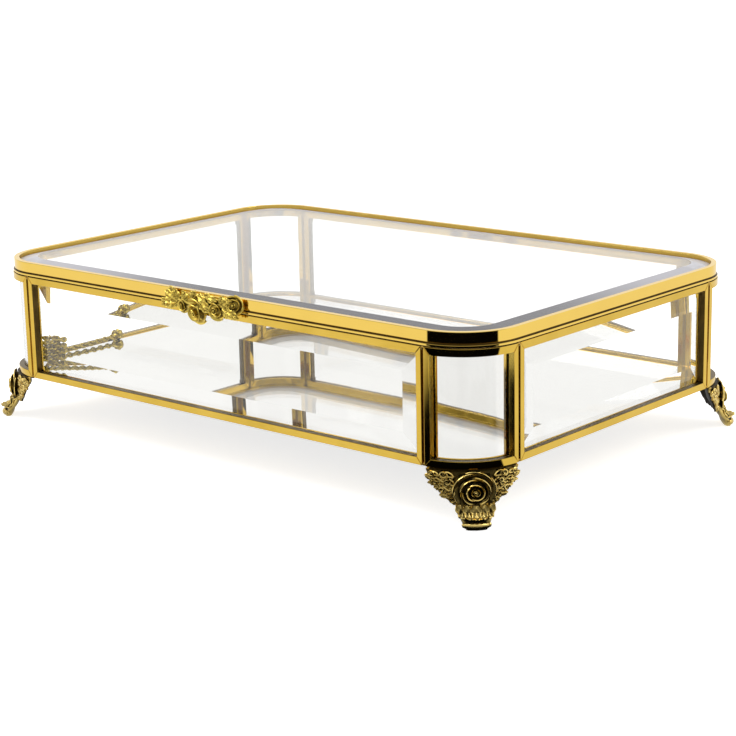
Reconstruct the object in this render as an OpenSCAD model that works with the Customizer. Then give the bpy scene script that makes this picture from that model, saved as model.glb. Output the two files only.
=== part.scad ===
// Glass casket box: eight brass-framed panes on a mirror base, with a hinged
// glass lid, a cast rose lift, four cast feet and a chain that stops the lid.
// Millimetres. X runs along the box, -Y is the front, Z is up, the soles are at Z = 0.

/* [Casket] */
// Length of the glass body
box_length = 300; // [240:1:400]
// Depth of the glass body from front to back
box_depth = 202; // [170:1:280]
// Height of the framed panes
panel_height = 50; // [44:1:80]
// Outer radius of the four bent corners
corner_radius = 28; // [26:1:36]
// Height of the feet under the panes
foot_height = 23; // [18:1:30]

/* [Pane frames] */
// Height of the top and bottom rails
rail_height = 3.3; // [2.6:0.1:5]
// Width of the upright stiles
stile_width = 2.8; // [2.4:0.1:4]
// Depth of the frame channel
frame_depth = 6; // [5.4:0.1:8]
// Width of the soldered seam between two frames
seam_width = 1.2; // [0.8:0.1:2]
// How far the seam lies behind the frame faces
seam_recess = 0.9; // [0.4:0.1:1.6]
// Width of the mitre line cut across each frame corner
mitre_width = 0.3; // [0.1:0.05:0.5]

/* [Panes] */
// Thickness of the flat panes
pane_thickness = 3; // [2.4:0.1:3.6]
// Thickness left at the bevelled edge of a pane
pane_edge = 1.3; // [1:0.1:2]
// Width of the bevel round each flat pane
pane_bevel = 10; // [5:0.5:12]
// Thickness of the bent corner panes
corner_pane_thickness = 2; // [1.6:0.1:2.6]
// How far a pane reaches into its frame
pane_bite = 1.6; // [1:0.1:2]
// Brass left behind a pane, on the inside of its frame
back_lip = 1.2; // [0.8:0.1:1.6]
// Play between glass and brass
glass_play = 0.05; // [0.02:0.01:0.1]

/* [Base] */
// Thickness of the ledge that carries the mirror
ledge_thickness = 0.8; // [0.6:0.1:1.5]
// Width of that ledge
ledge_width = 9; // [6:0.5:14]
// Thickness of the mirror
mirror_thickness = 1.6; // [1.2:0.1:2.2]
// Play round the mirror
mirror_play = 0.3; // [0.1:0.1:0.6]

/* [Lid] */
// Gap between the closed lid and the top rails
lid_gap = 0.4; // [0.3:0.1:1]
// Height of the lid rim
rim_height = 6.4; // [6:0.1:9]
// Wall of the lid rim
rim_wall = 1.6; // [1.2:0.1:2.4]
// Set-back of the rim's face from the panes below
rim_inset = 0.8; // [0.6:0.1:1.4]
// Height of the bead along the bottom of the rim
bead_height = 1; // [0.8:0.1:1.4]
// Set-back of that bead
bead_inset = 0.2; // [0.1:0.1:0.4]
// Height of the groove above the bead
groove_height = 0.5; // [0.3:0.1:0.8]
// Width of the ledge under the lid glass
rim_ledge = 5; // [4:0.5:7]
// Thickness of the lid glass
lid_pane_thickness = 5; // [4:0.1:5.2]
// Thickness left at its bevelled edge
lid_pane_edge = 3; // [2:0.1:3.6]
// Width of the bevel round the lid glass
lid_bevel = 10; // [6:0.5:14]
// Thickness of the lip over the edge of the lid glass
lip_thickness = 0.6; // [0.4:0.1:1]
// Reach of that lip beyond the rim's wall
lip_reach = 1; // [0.6:0.1:1.6]

/* [Hinges] */
// Distance of each hinge from the middle of the box
hinge_offset = 104; // [50:1:106]
// Length of a hinge
hinge_length = 24; // [16:1:32]
// Outer radius of the knuckles
knuckle_radius = 2.2; // [2:0.1:3]
// Radius of the hinge pins
pin_radius = 0.8; // [0.6:0.05:1]
// Running clearance round a pin
pin_clearance = 0.05; // [0.02:0.01:0.1]
// Play between neighbouring knuckles
knuckle_play = 0.2; // [0.1:0.05:0.4]
// Thickness of the hinge leaves
leaf_thickness = 0.8; // [0.6:0.1:1.2]
// Radius of the ball tips on a pin
tip_radius = 1.3; // [1.1:0.1:1.8]

/* [Rose lift] */
// Radius of the largest rose
rose_radius = 6.2; // [4.5:0.1:7]
// Length of the leaves between the roses
leaf_length = 11; // [8:0.5:13]
// Clearance between the lift and the rails behind it
lift_clearance = 0.4; // [0.3:0.1:1]
// Distance from the rails to the backs of the roses
lift_depth = 4; // [3:0.1:5]
// Length of the plate that the lift is soldered to the rim by
lift_plate_length = 32; // [26:1:38]
// Length of the stem that the flowers are cast on
lift_stem_length = 40; // [36:1:42]
// Height of that stem
lift_stem_height = 4; // [3:0.5:4.5]

/* [Feet] */
// Thickness of the plate that a foot is soldered on by
foot_plate = 1.2; // [1:0.1:2]
// Reach of the toes beyond the corners
toe_reach = 10; // [7:0.5:12]
// Half width of a toe
toe_half_width = 5.2; // [4:0.1:6]
// Radius of the rose on a foot
foot_rose_radius = 8.2; // [6:0.1:9]
// Thickness of the pierced wings
wing_thickness = 2.4; // [1.6:0.1:3]

/* [Chain] */
// Length of one straight run of the chain
run_length = 15.6; // [15:0.1:16]
// Radius of a link
link_radius = 1.25; // [1:0.05:1.3]
// Distance of the first link from the end of its run
end_spacing = 2.7; // [2.6:0.05:3]
// Radius of the wire between the links
wire_radius = 0.5; // [0.4:0.05:0.6]
// Radius of the joint between two runs
joint_radius = 0.8; // [0.7:0.05:0.9]
// Clearance round that joint
joint_clearance = 0.08; // [0.05:0.01:0.1]
// Radius of the knob that anchors the chain
knob_radius = 2.6; // [2:0.1:3]

/* [Hidden] */
$fn = 64;
over = 1;

// How far the lift and the hinges stand out decides where the body's middle lies.
rose_rise = 0.62;
bud_offset = 19.8;
lift_reach = lift_depth + rose_rise * rose_radius;
axis_reach = knuckle_radius + 0.2;
body_y = (lift_reach - axis_reach - knuckle_radius) / 2;

half_length = box_length / 2;
half_depth = box_depth / 2;
lid_z = panel_height + lid_gap;
axis_y = half_depth + axis_reach;
axis_z = panel_height + lid_gap / 2;
mirror_top = ledge_thickness + mirror_thickness;
pane_back = frame_depth - back_lip;
bevel_fall = pane_thickness - pane_edge;
front_z = bead_height + groove_height;
pane_z = bead_height;

// Corners in order: right back, left back, left front, right front
CORNERS = [[1, 1], [-1, 1], [-1, -1], [1, -1]];
CORNER_NAMES = ["right_back", "left_back", "left_front", "right_front"];
SIDE_NAMES = ["front", "right", "back", "left"];
HINGE_NAMES = ["left", "right"];

// Chain: runs along the left pane, a three-sided coil in the corner, runs up to the lid
floor_runs = 3;
coil_runs = 13;
hang_runs = 2;
run_count = floor_runs + coil_runs + hang_runs;
links_per_run = 4;
coil_heading = -63;
coil_turn = 122;
coil_rise = 0.92;
hang_heading = 160;
hang_lean = 10;
floor_heading = -88;
floor_sway = 4;
anchor_inset = 9;
anchor_distance = 71.5;
anchor_y = -half_depth + anchor_distance;
anchor_z = mirror_top + link_radius + 0.8;
run_drop = (anchor_z - mirror_top - link_radius) / floor_runs;
link_pitch = (run_length - 2 * end_spacing) / (links_per_run - 1);

// Slope of a run that rises by a height
function flat_part(rise) = sqrt(1 - pow(rise / run_length, 2));
function heading(angle, rise) = [
  cos(angle) * flat_part(rise), sin(angle) * flat_part(rise), rise / run_length
];
function run_direction(k) =
  k < floor_runs ? heading(floor_heading + (k % 2 == 0 ? floor_sway / 2 : -floor_sway), -run_drop)
  : k < floor_runs + coil_runs ? heading(coil_heading + coil_turn * (k - floor_runs), coil_rise)
  : [sin(hang_lean) * cos(hang_heading), sin(hang_lean) * sin(hang_heading), cos(hang_lean)];
anchor_point = [-half_length + anchor_inset, anchor_y, anchor_z];
chain_points = [
  for (k = 0, p = anchor_point; k <= run_count; p = p + run_length * run_direction(k), k = k + 1) p
];
function run_name(k) = str("chain_run_", k < 9 ? "0" : "", k + 1);

// ---- Placing ----

module on_feet() {
  translate([0, body_y, foot_height]) children();
}

// Side i with its outer face on the XZ plane and +Y going into the box
module at_side(i) {
  on_feet()
    rotate([0, 0, 90 * i])
      translate([0, -(i % 2 == 0 ? half_depth : half_length), 0])
        children();
}

// Corner i with the centre of its bend at the origin and its bend in +X +Y
module at_corner(i) {
  on_feet()
    translate([CORNERS[i][0] * (half_length - corner_radius), CORNERS[i][1] * (half_depth - corner_radius), 0])
      rotate([0, 0, 90 * i])
        children();
}

function side_length(i) = (i % 2 == 0 ? box_length : box_depth) - 2 * corner_radius - seam_width;

// Rounded plan of the box, drawn in from its outline by an inset
module plan(inset) {
  r = corner_radius - inset;
  square([box_length - 2 * inset, box_depth - 2 * corner_radius], center = true);
  square([box_length - 2 * corner_radius, box_depth - 2 * inset], center = true);
  for (c = CORNERS)
    translate([c[0] * (half_length - corner_radius), c[1] * (half_depth - corner_radius)])
      circle(r = r);
}

module ring(z, height, outer_inset, inner_inset) {
  translate([0, 0, z])
    difference() {
      linear_extrude(height) plan(outer_inset);
      translate([0, 0, -over]) linear_extrude(height + 2 * over) plan(inner_inset);
    }
}

// ---- Flat panes and their frames ----

module flat_frame(length) {
  window = length - 2 * stile_width;
  groove = pane_edge + pane_bite * bevel_fall / pane_bevel + 2 * glass_play;
  difference() {
    translate([-length / 2, 0, 0]) cube([length, frame_depth, panel_height]);
    translate([-window / 2, -over, rail_height])
      cube([window, frame_depth + 2 * over, panel_height - 2 * rail_height]);
    translate([-window / 2 - pane_bite, pane_back - groove, rail_height - pane_bite])
      cube([window + 2 * pane_bite, groove, panel_height - 2 * rail_height + 2 * pane_bite]);
    for (x = [-1, 1], z = [0, 1])
      translate([x * length / 2, 0, z * panel_height])
        rotate([0, atan2(rail_height, stile_width) * (z == 0 ? x : -x), 0])
          cube([2 * norm([rail_height, stile_width]), mitre_width, mitre_width], center = true);
  }
}

// One bevelled pane: flat at the back, bevelled all round on its face
module flat_pane(length) {
  w = length - 2 * stile_width + 2 * (pane_bite - glass_play);
  h = panel_height - 2 * rail_height + 2 * (pane_bite - glass_play);
  slope = atan2(bevel_fall, pane_bevel);
  wedge = 2 * pane_bevel;
  translate([0, pane_back - glass_play, panel_height / 2])
    difference() {
      translate([-w / 2, -pane_thickness, -h / 2]) cube([w, pane_thickness, h]);
      for (s = [-1, 1]) {
        translate([s * w / 2, -pane_edge, 0])
          rotate([0, 0, s * slope])
            translate([-wedge / 2, -wedge, -h])
              cube([wedge, wedge, 2 * h]);
        translate([0, -pane_edge, s * h / 2])
          rotate([-s * slope, 0, 0])
            translate([-w, -wedge, -wedge / 2])
              cube([2 * w, wedge, wedge]);
      }
    }
}

// ---- Bent corners ----

// Quarter ring whose ends are cut back square by an inset
module bend(inset, r_in, r_out, z, height) {
  translate([0, 0, z])
    intersection() {
      difference() {
        cylinder(r = r_out, h = height);
        translate([0, 0, -over]) cylinder(r = r_in, h = height + 2 * over);
      }
      translate([inset, inset, -over])
        cube([corner_radius + over, corner_radius + over, height + 2 * over]);
    }
}

module corner_frame() {
  pane_r = corner_radius - pane_back;
  window = seam_width / 2 + stile_width;
  difference() {
    bend(seam_width / 2, corner_radius - frame_depth, corner_radius, 0, panel_height);
    bend(window, corner_radius - frame_depth - over, corner_radius + over, rail_height,
         panel_height - 2 * rail_height);
    bend(window - pane_bite, pane_r, pane_r + corner_pane_thickness + 2 * glass_play,
         rail_height - pane_bite, panel_height - 2 * rail_height + 2 * pane_bite);
  }
}

module corner_pane() {
  pane_r = corner_radius - pane_back + glass_play;
  edge = pane_bite - glass_play;
  bend(seam_width / 2 + stile_width - edge, pane_r, pane_r + corner_pane_thickness,
       rail_height - edge, panel_height - 2 * rail_height + 2 * edge);
}

// Solder between two frames: a strip behind a small bead
module seam() {
  bead_y = seam_recess + seam_width / 2;
  translate([-seam_width / 2, bead_y, 0]) cube([seam_width, frame_depth - bead_y, panel_height]);
  translate([0, bead_y, 0]) cylinder(d = seam_width, h = panel_height);
}

module seam_strips() {
  color("darkgoldenrod")
    for (i = [0 : 3], s = [-1, 1])
      at_side(i) translate([s * (side_length(i) + seam_width) / 2, 0, 0]) seam();
}

// ---- Base ----

module mirror_ledge() {
  color("goldenrod")
    on_feet() ring(0, ledge_thickness, frame_depth + glass_play, frame_depth + ledge_width);
}

module mirror_base() {
  color("silver")
    on_feet()
      translate([0, 0, ledge_thickness])
        linear_extrude(mirror_thickness) plan(frame_depth + mirror_play);
}

// ---- Feet ----
// A foot is drawn with +X pointing out of its corner and Z = 0 at its sole.

// Outline of a foot seen from the front: wings, knuckle and toe
module foot_front() {
  half = corner_radius * sin(42);
  z = foot_height;
  polygon([
    [-toe_half_width, 0], [toe_half_width, 0], [toe_half_width + 1.6, 0.16 * z], [8.3, 0.33 * z],
    [8.8, 0.42 * z], [12.8, 0.55 * z], [15.4, 0.72 * z], [half, 0.9 * z], [half, z],
    [-half, z], [-half, 0.9 * z], [-15.4, 0.72 * z], [-12.8, 0.55 * z], [-8.8, 0.42 * z],
    [-8.3, 0.33 * z], [-toe_half_width - 1.6, 0.16 * z]
  ]);
}

// Outline of the leg seen from the side, from the plate down to the curled toe
module foot_side() {
  r = corner_radius;
  z = foot_height;
  toe = r + toe_reach;
  polygon([
    [r - 5.5, z], [r + 0.2, z], [r + 1.6, 0.9 * z], [r + 2.6, 0.7 * z], [r + 3.6, 0.4 * z],
    [r + 4.6, 0.26 * z], [toe - 2.4, 0.24 * z], [toe - 0.6, 0.18 * z], [toe, 0.1 * z],
    [toe - 0.6, 0.03 * z], [toe - 1.8, 0], [toe - 5.6, 0], [r + 2.6, 0.08 * z],
    [r + 1.4, 0.22 * z], [r - 0.6, 0.4 * z], [r - 3.4, 0.7 * z]
  ]);
}

// Petals as nested open rings round the X axis, rising to the bud in the middle
module rose(radius) {
  rotate([0, 90, 0]) {
    cylinder(r1 = radius * 0.96, r2 = radius * 0.6, h = radius * 0.36);
    for (k = [0 : 2])
      translate([0, 0, radius * (0.16 + 0.13 * k)])
        rotate_extrude()
          translate([radius * (0.85 - 0.26 * k), 0])
            circle(r = radius * (0.15 - 0.01 * k));
    translate([0, 0, radius * (rose_rise - 0.17)]) sphere(r = radius * 0.17);
  }
}

module foot() {
  leg_half_width = 7.4;
  toe_round = 1.3 * toe_half_width;
  ankle = 0.3 * foot_height;
  wing_holes = [[11.5, 0.86], [15.4, 0.84], [11.2, 0.68], [14, 0.76]];
  half = corner_radius;
  wing_r = corner_radius - wing_thickness;
  // plate under the corner frame and the mirror ledge
  translate([0, 0, foot_height - foot_plate])
    rotate([0, 0, -45])
      bend(3, corner_radius - frame_depth - 4, wing_r + 0.6, 0, foot_plate);
  // pierced wings that follow the bend
  difference() {
    intersection() {
      rotate([0, 0, -45]) bend(0, wing_r, corner_radius, 0, foot_height);
      rotate([90, 0, 90]) linear_extrude(2 * half) foot_front();
    }
    for (s = [-1, 1], p = wing_holes)
      translate([0, s * p[0], p[1] * foot_height])
        rotate([0, 90, 0])
          cylinder(d = 1.7, h = 2 * half);
  }
  // leg
  intersection() {
    translate([0, half, 0]) rotate([90, 0, 0]) linear_extrude(2 * half) foot_side();
    translate([0, -leg_half_width, ankle - 1.5])
      cube([2 * half, 2 * leg_half_width, foot_height - ankle + 0.7]);
  }
  // toe with its rounded tip
  intersection() {
    translate([0, half, 0]) rotate([90, 0, 0]) linear_extrude(2 * half) foot_side();
    translate([half + toe_reach - toe_round, 0, 0]) cylinder(r = toe_round, h = ankle);
  }
  translate([corner_radius + 0.4, 0, foot_height - foot_rose_radius - 0.6]) rose(foot_rose_radius);
}

module corner_foot(i) {
  color("gold")
    at_corner(i) rotate([0, 0, 45]) translate([0, 0, -foot_height]) foot();
}

// ---- Lid ----

module lid_rim() {
  color("gold")
    on_feet()
      translate([0, 0, lid_z]) {
        ring(0, bead_height, bead_inset, rim_ledge);
        ring(bead_height, groove_height, rim_inset + 0.4, rim_inset + rim_wall);
        ring(front_z, rim_height - front_z, rim_inset, rim_inset + rim_wall);
        ring(rim_height - lip_thickness, lip_thickness, rim_inset, rim_inset + rim_wall + lip_reach);
      }
}

// Section of the lid glass from its middle towards its edge at x = 0
module bevel_section() {
  polygon([
    [-lid_bevel, 0], [0, 0], [0, lid_pane_edge], [-lid_bevel, lid_pane_thickness]
  ]);
}

module lid_pane() {
  inset = rim_inset + rim_wall + glass_play;
  r = corner_radius - inset;
  x = half_length - corner_radius;
  y = half_depth - corner_radius;
  color("lightcyan", 0.4)
    on_feet()
      translate([0, 0, lid_z + pane_z]) {
        linear_extrude(lid_pane_thickness) plan(inset + lid_bevel);
        for (s = [0, 180])
          rotate([0, 0, s]) {
            translate([0, -half_depth + inset, 0])
              rotate([90, 0, -90])
                translate([0, 0, -x]) linear_extrude(2 * x) bevel_section();
            translate([half_length - inset, 0, 0])
              rotate([90, 0, 0])
                translate([0, 0, -y]) linear_extrude(2 * y) bevel_section();
          }
        for (c = CORNERS)
          translate([c[0] * x, c[1] * y, 0])
            rotate_extrude() translate([r, 0]) bevel_section();
      }
}

// ---- Rose lift ----

// Leaf lying in the XZ plane, its tip at +Z, face towards -Y
module leaf(length) {
  r = length * 0.72;
  rotate([90, 0, 0])
    translate([0, length / 2, 0])
      linear_extrude(length * 0.12)
        intersection() {
          translate([r * 0.72, 0]) circle(r = r);
          translate([-r * 0.72, 0]) circle(r = r);
        }
}

module bloom(x, z, radius) {
  translate([x, -half_depth - lift_depth, panel_height + z]) rotate([0, 0, -90]) rose(radius);
}

module rose_lift() {
  stem = lift_depth - lift_clearance;
  plate = rim_height - front_z - 1;
  // leaves between the roses: x, height over the top rails, turn
  leaves = [[1, 3.6, -24], [5.4, 3.4, 38], [-6, 3, -38], [14, 2.4, -72], [-15, 2.6, 24]];
  color("gold")
    on_feet() {
      // plate soldered to the rim, and the stem that the flowers are cast on
      translate([-lift_plate_length / 2, -half_depth - lift_clearance - 0.4, lid_z + front_z + 0.4])
        cube([lift_plate_length, lift_clearance + 0.4 + rim_inset, plate]);
      translate([-lift_stem_length / 2, -half_depth - lift_clearance - stem, lid_z + 0.2])
        cube([lift_stem_length, stem + 0.2, lift_stem_height]);
      bloom(-3.4, -1.4, rose_radius);
      bloom(8.6, 1.2, rose_radius * 0.76);
      bloom(-12.4, 0.6, rose_radius * 0.56);
      bloom(-bud_offset, 3.4, rose_radius * 0.66);
      bloom(bud_offset, 3.8, rose_radius * 0.7);
      for (p = leaves)
        translate([p[0], -half_depth - lift_depth + 0.4, panel_height + p[1]])
          rotate([0, p[2], 0])
            translate([0, 0, -leaf_length / 2]) leaf(leaf_length);
    }
}

// ---- Hinges ----

module at_hinge(i) {
  on_feet() translate([(i == 0 ? -1 : 1) * hinge_offset, 0, 0]) children();
}

// Round bar along X between two distances from the middle of a hinge
module bar(radius, x1, x2) {
  translate([x1, axis_y, axis_z]) rotate([0, 90, 0]) cylinder(r = radius, h = x2 - x1);
}

third = hinge_length / 6;

module hinge_body_leaf(i) {
  color("goldenrod")
    at_hinge(i)
      difference() {
        union() {
          translate([-hinge_length / 2, half_depth, panel_height - rail_height])
            cube([hinge_length, leaf_thickness, rail_height]);
          for (s = [-1, 1])
            bar(knuckle_radius, s == 1 ? third + knuckle_play : -hinge_length / 2,
                s == 1 ? hinge_length / 2 : -third - knuckle_play);
        }
        bar(knuckle_radius + knuckle_play, -third - knuckle_play, third + knuckle_play);
        bar(pin_radius + pin_clearance, -hinge_length, hinge_length);
      }
}

module hinge_lid_leaf(i) {
  color("gold")
    at_hinge(i)
      difference() {
        union() {
          translate([-hinge_length / 2, half_depth - rim_inset, lid_z + front_z])
            cube([hinge_length, rim_inset + leaf_thickness, rim_height - front_z - 0.6]);
          translate([-hinge_length / 2, half_depth - bead_inset, lid_z + 0.1])
            cube([hinge_length, bead_inset + leaf_thickness, front_z]);
          bar(knuckle_radius, -third, third);
        }
        for (s = [-1, 1])
          bar(knuckle_radius + knuckle_play, s == 1 ? third : -hinge_length,
              s == 1 ? hinge_length : -third);
        bar(pin_radius + pin_clearance, -hinge_length, hinge_length);
      }
}

module hinge_pin(i) {
  tip = hinge_length / 2 + 0.1 + sqrt(pow(tip_radius, 2) - pow(pin_radius, 2));
  color("gold")
    at_hinge(i) {
      bar(pin_radius, -tip, tip);
      for (s = [-1, 1])
        translate([s * tip, axis_y, axis_z]) sphere(r = tip_radius);
    }
}

// ---- Chain ----

// Turns +Z to a direction
module aim(direction) {
  rotate([0, acos(direction[2] / norm(direction)), atan2(direction[1], direction[0])]) children();
}

module chain_run(k) {
  first = joint_radius + joint_clearance;
  color("goldenrod")
    on_feet()
      translate(chain_points[k])
        aim(run_direction(k)) {
          translate([0, 0, first]) cylinder(r = wire_radius, h = run_length - first);
          for (n = [0 : links_per_run - 1])
            translate([0, 0, end_spacing + n * link_pitch]) sphere(r = link_radius);
          translate([0, 0, run_length]) sphere(r = joint_radius);
        }
}

// Knob on the left frame's bottom rail, with the eye that the first run hangs in
module chain_anchor() {
  knob_z = mirror_top + knob_radius + 0.1;
  knob_y = anchor_y + knob_radius + 0.6;
  color("goldenrod")
    on_feet() {
      translate([-half_length + frame_depth, knob_y, knob_z])
        rotate([0, 90, 0]) cylinder(r = 1, h = anchor_inset - frame_depth);
      translate([-half_length + frame_depth, knob_y, knob_z])
        rotate([0, 90, 0]) cylinder(r = 2, h = 0.6);
      translate([-half_length + anchor_inset, knob_y, knob_z]) sphere(r = knob_radius);
      translate(anchor_point) {
        sphere(r = joint_radius);
        rotate([-90, 0, 0]) cylinder(r = wire_radius, h = knob_y - anchor_y);
      }
    }
}

// Tab soldered to the edge of the lid's ledge, with the hook that carries the last run
module chain_lid_tab() {
  hook = chain_points[run_count];
  centre = [-half_length + corner_radius, -half_depth + corner_radius];
  out = [hook[0] - centre[0], hook[1] - centre[1]];
  ledge_r = corner_radius - rim_ledge;
  tab_width = 4;
  hook_z = hook[2] + joint_radius + joint_clearance;
  color("gold")
    on_feet() {
      intersection() {
        translate([centre[0], centre[1], lid_z]) cylinder(r = ledge_r, h = bead_height);
        translate([hook[0], hook[1], lid_z])
          rotate([0, 0, atan2(out[1], out[0])])
            translate([-tab_width / 2, -tab_width / 2, 0])
              cube([corner_radius, tab_width, bead_height]);
      }
      translate([hook[0], hook[1], hook_z]) cylinder(r = wire_radius, h = lid_z + 0.2 - hook_z);
      translate([hook[0], hook[1], lid_z - 1]) cylinder(r = 1.2, h = 1.2);
    }
}

// ---- Assembly ----

for (i = [0 : 3]) {
  color("gold") at_side(i) flat_frame(side_length(i));
  color("lightcyan", 0.4) at_side(i) flat_pane(side_length(i));
  color("gold") at_corner(i) corner_frame();
  color("lightcyan", 0.4) at_corner(i) corner_pane();
  corner_foot(i);
}
seam_strips();
mirror_ledge();
mirror_base();
lid_rim();
lid_pane();
rose_lift();
for (i = [0 : 1]) {
  hinge_body_leaf(i);
  hinge_lid_leaf(i);
  hinge_pin(i);
}
chain_anchor();
chain_lid_tab();
for (k = [0 : run_count - 1])
  chain_run(k);
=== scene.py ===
# Glass casket box: bevelled panes in mitred brass frames round a mirror base, a hinged
# glass lid with a cast rose lift, four cast feet and a chain that stops the lid.
import math
import bmesh
import bpy
from mathutils import Matrix, Vector, noise
from mathutils.bvhtree import BVHTree


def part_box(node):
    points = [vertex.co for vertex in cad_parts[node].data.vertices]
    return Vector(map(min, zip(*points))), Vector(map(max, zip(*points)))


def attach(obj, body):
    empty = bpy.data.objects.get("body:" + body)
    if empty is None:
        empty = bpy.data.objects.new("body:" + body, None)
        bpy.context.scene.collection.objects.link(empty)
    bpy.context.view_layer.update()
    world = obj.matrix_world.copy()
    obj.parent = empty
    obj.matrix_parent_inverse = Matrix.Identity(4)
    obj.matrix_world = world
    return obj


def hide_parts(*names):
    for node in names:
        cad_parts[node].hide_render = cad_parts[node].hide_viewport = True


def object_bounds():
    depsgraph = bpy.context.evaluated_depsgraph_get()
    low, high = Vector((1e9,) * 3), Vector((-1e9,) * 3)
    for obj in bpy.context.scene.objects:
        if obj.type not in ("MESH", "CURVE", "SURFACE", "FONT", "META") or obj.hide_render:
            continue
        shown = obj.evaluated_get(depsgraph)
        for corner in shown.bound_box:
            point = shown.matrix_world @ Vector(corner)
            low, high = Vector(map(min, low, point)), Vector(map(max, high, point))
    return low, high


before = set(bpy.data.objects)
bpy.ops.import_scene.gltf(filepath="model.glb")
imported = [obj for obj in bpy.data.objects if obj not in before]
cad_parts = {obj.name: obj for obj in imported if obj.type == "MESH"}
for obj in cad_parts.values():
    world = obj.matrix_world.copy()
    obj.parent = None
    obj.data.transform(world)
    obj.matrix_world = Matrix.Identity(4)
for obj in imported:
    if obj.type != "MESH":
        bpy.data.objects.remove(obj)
cad_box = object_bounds()

# ---- Camera ----
# The box is seen from off its right front corner, from a little above the lid,
# through a long lens that tilts it slightly.
MM = 0.001
AIM = Vector((62.6, -63.8, 48.0)) * MM
DISTANCE = 850.3 * MM
AZIMUTH = math.radians(40.87)
ELEVATION = math.radians(14.11)
TILT = math.radians(-1.17)
FOCAL_LENGTH = 95.35


def linked(name, data):
    """A new object in the scene."""
    thing = bpy.data.objects.new(name, data)
    bpy.context.scene.collection.objects.link(thing)
    return thing


towards_camera = Vector((
    math.sin(AZIMUTH) * math.cos(ELEVATION),
    -math.cos(AZIMUTH) * math.cos(ELEVATION),
    math.sin(ELEVATION),
))
sideways = Vector((math.cos(AZIMUTH), math.sin(AZIMUTH), 0))
turn = Matrix((sideways, towards_camera.cross(sideways), towards_camera)).transposed().to_4x4()
camera_data = bpy.data.cameras.new("camera")
camera_data.lens = FOCAL_LENGTH
camera = linked("camera", camera_data)
camera.matrix_world = (
    Matrix.Translation(AIM + DISTANCE * towards_camera) @ turn @ Matrix.Rotation(TILT, 4, "Z")
)
bpy.context.scene.camera = camera
bpy.context.scene.view_settings.view_transform = "Standard"


# ---- Room ----
# A white studio: an even white dome, a white floor that keeps the box's soft shadow and two
# soft boxes. Polished metal also mirrors the studio's dim side, which the box is seen from,
# and a black flag before the near corner.
FLOOR_RADIUS = 5.0
FLOOR_SIDES = 96
FLOOR_PAINT = (0.86, 0.86, 0.86, 1)
FLOOR_LIFT = 0.74  # keeps the shadow faint
FLOOR_GLOSS = 1.0  # light of the floor in polished metal
UNDER_LIGHT = 0.22  # the same in the painted shadow under the box
SHADE_INNER = 0.8  # where that shade ends, as shares of the box's half sides
SHADE_OUTER = 1.15
FLAG_CORNER = Vector((122, -71, 0)) * MM  # the bend that the flag stands before
FLAG_START = math.radians(-29)  # azimuths as seen from the bend, 0 is straight ahead
FLAG_END = math.radians(97)
FLAG_EDGE = math.radians(3)
FLAG_NEAR = 28 * MM
FLAG_FAR = 420 * MM
FLAG_FADE = 1.3  # each of the two fades out to this many times its distance
FLAG_TOP = 0.08  # sine of the height to which the dome is dark
FLAG_LIGHT = 0.002
DIM_START = math.radians(-95)  # the dim side, in azimuths as seen from the box
DIM_END = math.radians(125)
DIM_EDGE = math.radians(20)
DIM_LIGHT = 0.46
DIM_TOP = 0.75  # sine of the height to which it is dim
FADE_FROM = 0.6  # share of its height at which a dark stretch of the dome starts to fade
DOME_WHITE = (1.0, 1.0, 1.0, 1)
DOME_FILL = 0.62  # light of the dome on the surfaces themselves
BOX_HALF_LENGTH = cad_box[1][0]
BOX_HALF_DEPTH = cad_box[1][1]


def makers(tree):
    """Empties a tree and gives short makers of its nodes: inputs that are sockets are linked."""
    tree.nodes.clear()

    def plug(socket, value):
        if isinstance(value, bpy.types.NodeSocket):
            tree.links.new(value, socket)
        else:
            socket.default_value = value

    def add(kind, inputs=None, **settings):
        node = tree.nodes.new(kind)
        for key, value in settings.items():
            setattr(node, key, value)
        for key, value in (inputs or {}).items():
            plug(node.inputs[key], value)
        return node

    def calc(operation, *values, clamp=False):
        node = add("ShaderNodeMath", operation=operation, use_clamp=clamp)
        for socket, value in zip(node.inputs, values):
            plug(socket, value)
        return node.outputs[0]

    return add, calc


def new_material(name):
    """An empty material and the makers of its nodes."""
    material = bpy.data.materials.new(name)
    material.use_nodes = True
    return (material, *makers(material.node_tree))


def smooth_step(calc, value, start, end):
    """0 before start, 1 after end."""
    ratio = calc("DIVIDE", calc("SUBTRACT", value, start), end - start, clamp=True)
    return calc("MULTIPLY", calc("MULTIPLY", ratio, ratio), calc("MULTIPLY_ADD", ratio, -2.0, 3.0))


def arc_mask(add, calc, direction, start, end, edge):
    """1 where a direction on the ground lies in an arc of azimuths, and the direction's height."""
    x, y, z = add("ShaderNodeSeparateXYZ", {0: direction}).outputs
    angle = calc("ARCTAN2", x, calc("MULTIPLY", y, -1.0))
    after = smooth_step(calc, angle, start, start + edge)
    before = smooth_step(calc, calc("MULTIPLY", angle, -1.0), -end, edge - end)
    return calc("MULTIPLY", after, before), z


def seen_rays(add, calc):
    """Rays that see the room itself, from the camera, off gloss and through glass, and of
    these the ones that a polished surface has reflected."""
    path = add("ShaderNodeLightPath").outputs
    total = calc("ADD", path["Is Camera Ray"], path["Is Glossy Ray"])
    total = calc("ADD", total, path["Is Transmission Ray"], clamp=True)
    return total, calc("MULTIPLY", total, calc("GREATER_THAN", path["Glossy Depth"], 0.5))


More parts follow.
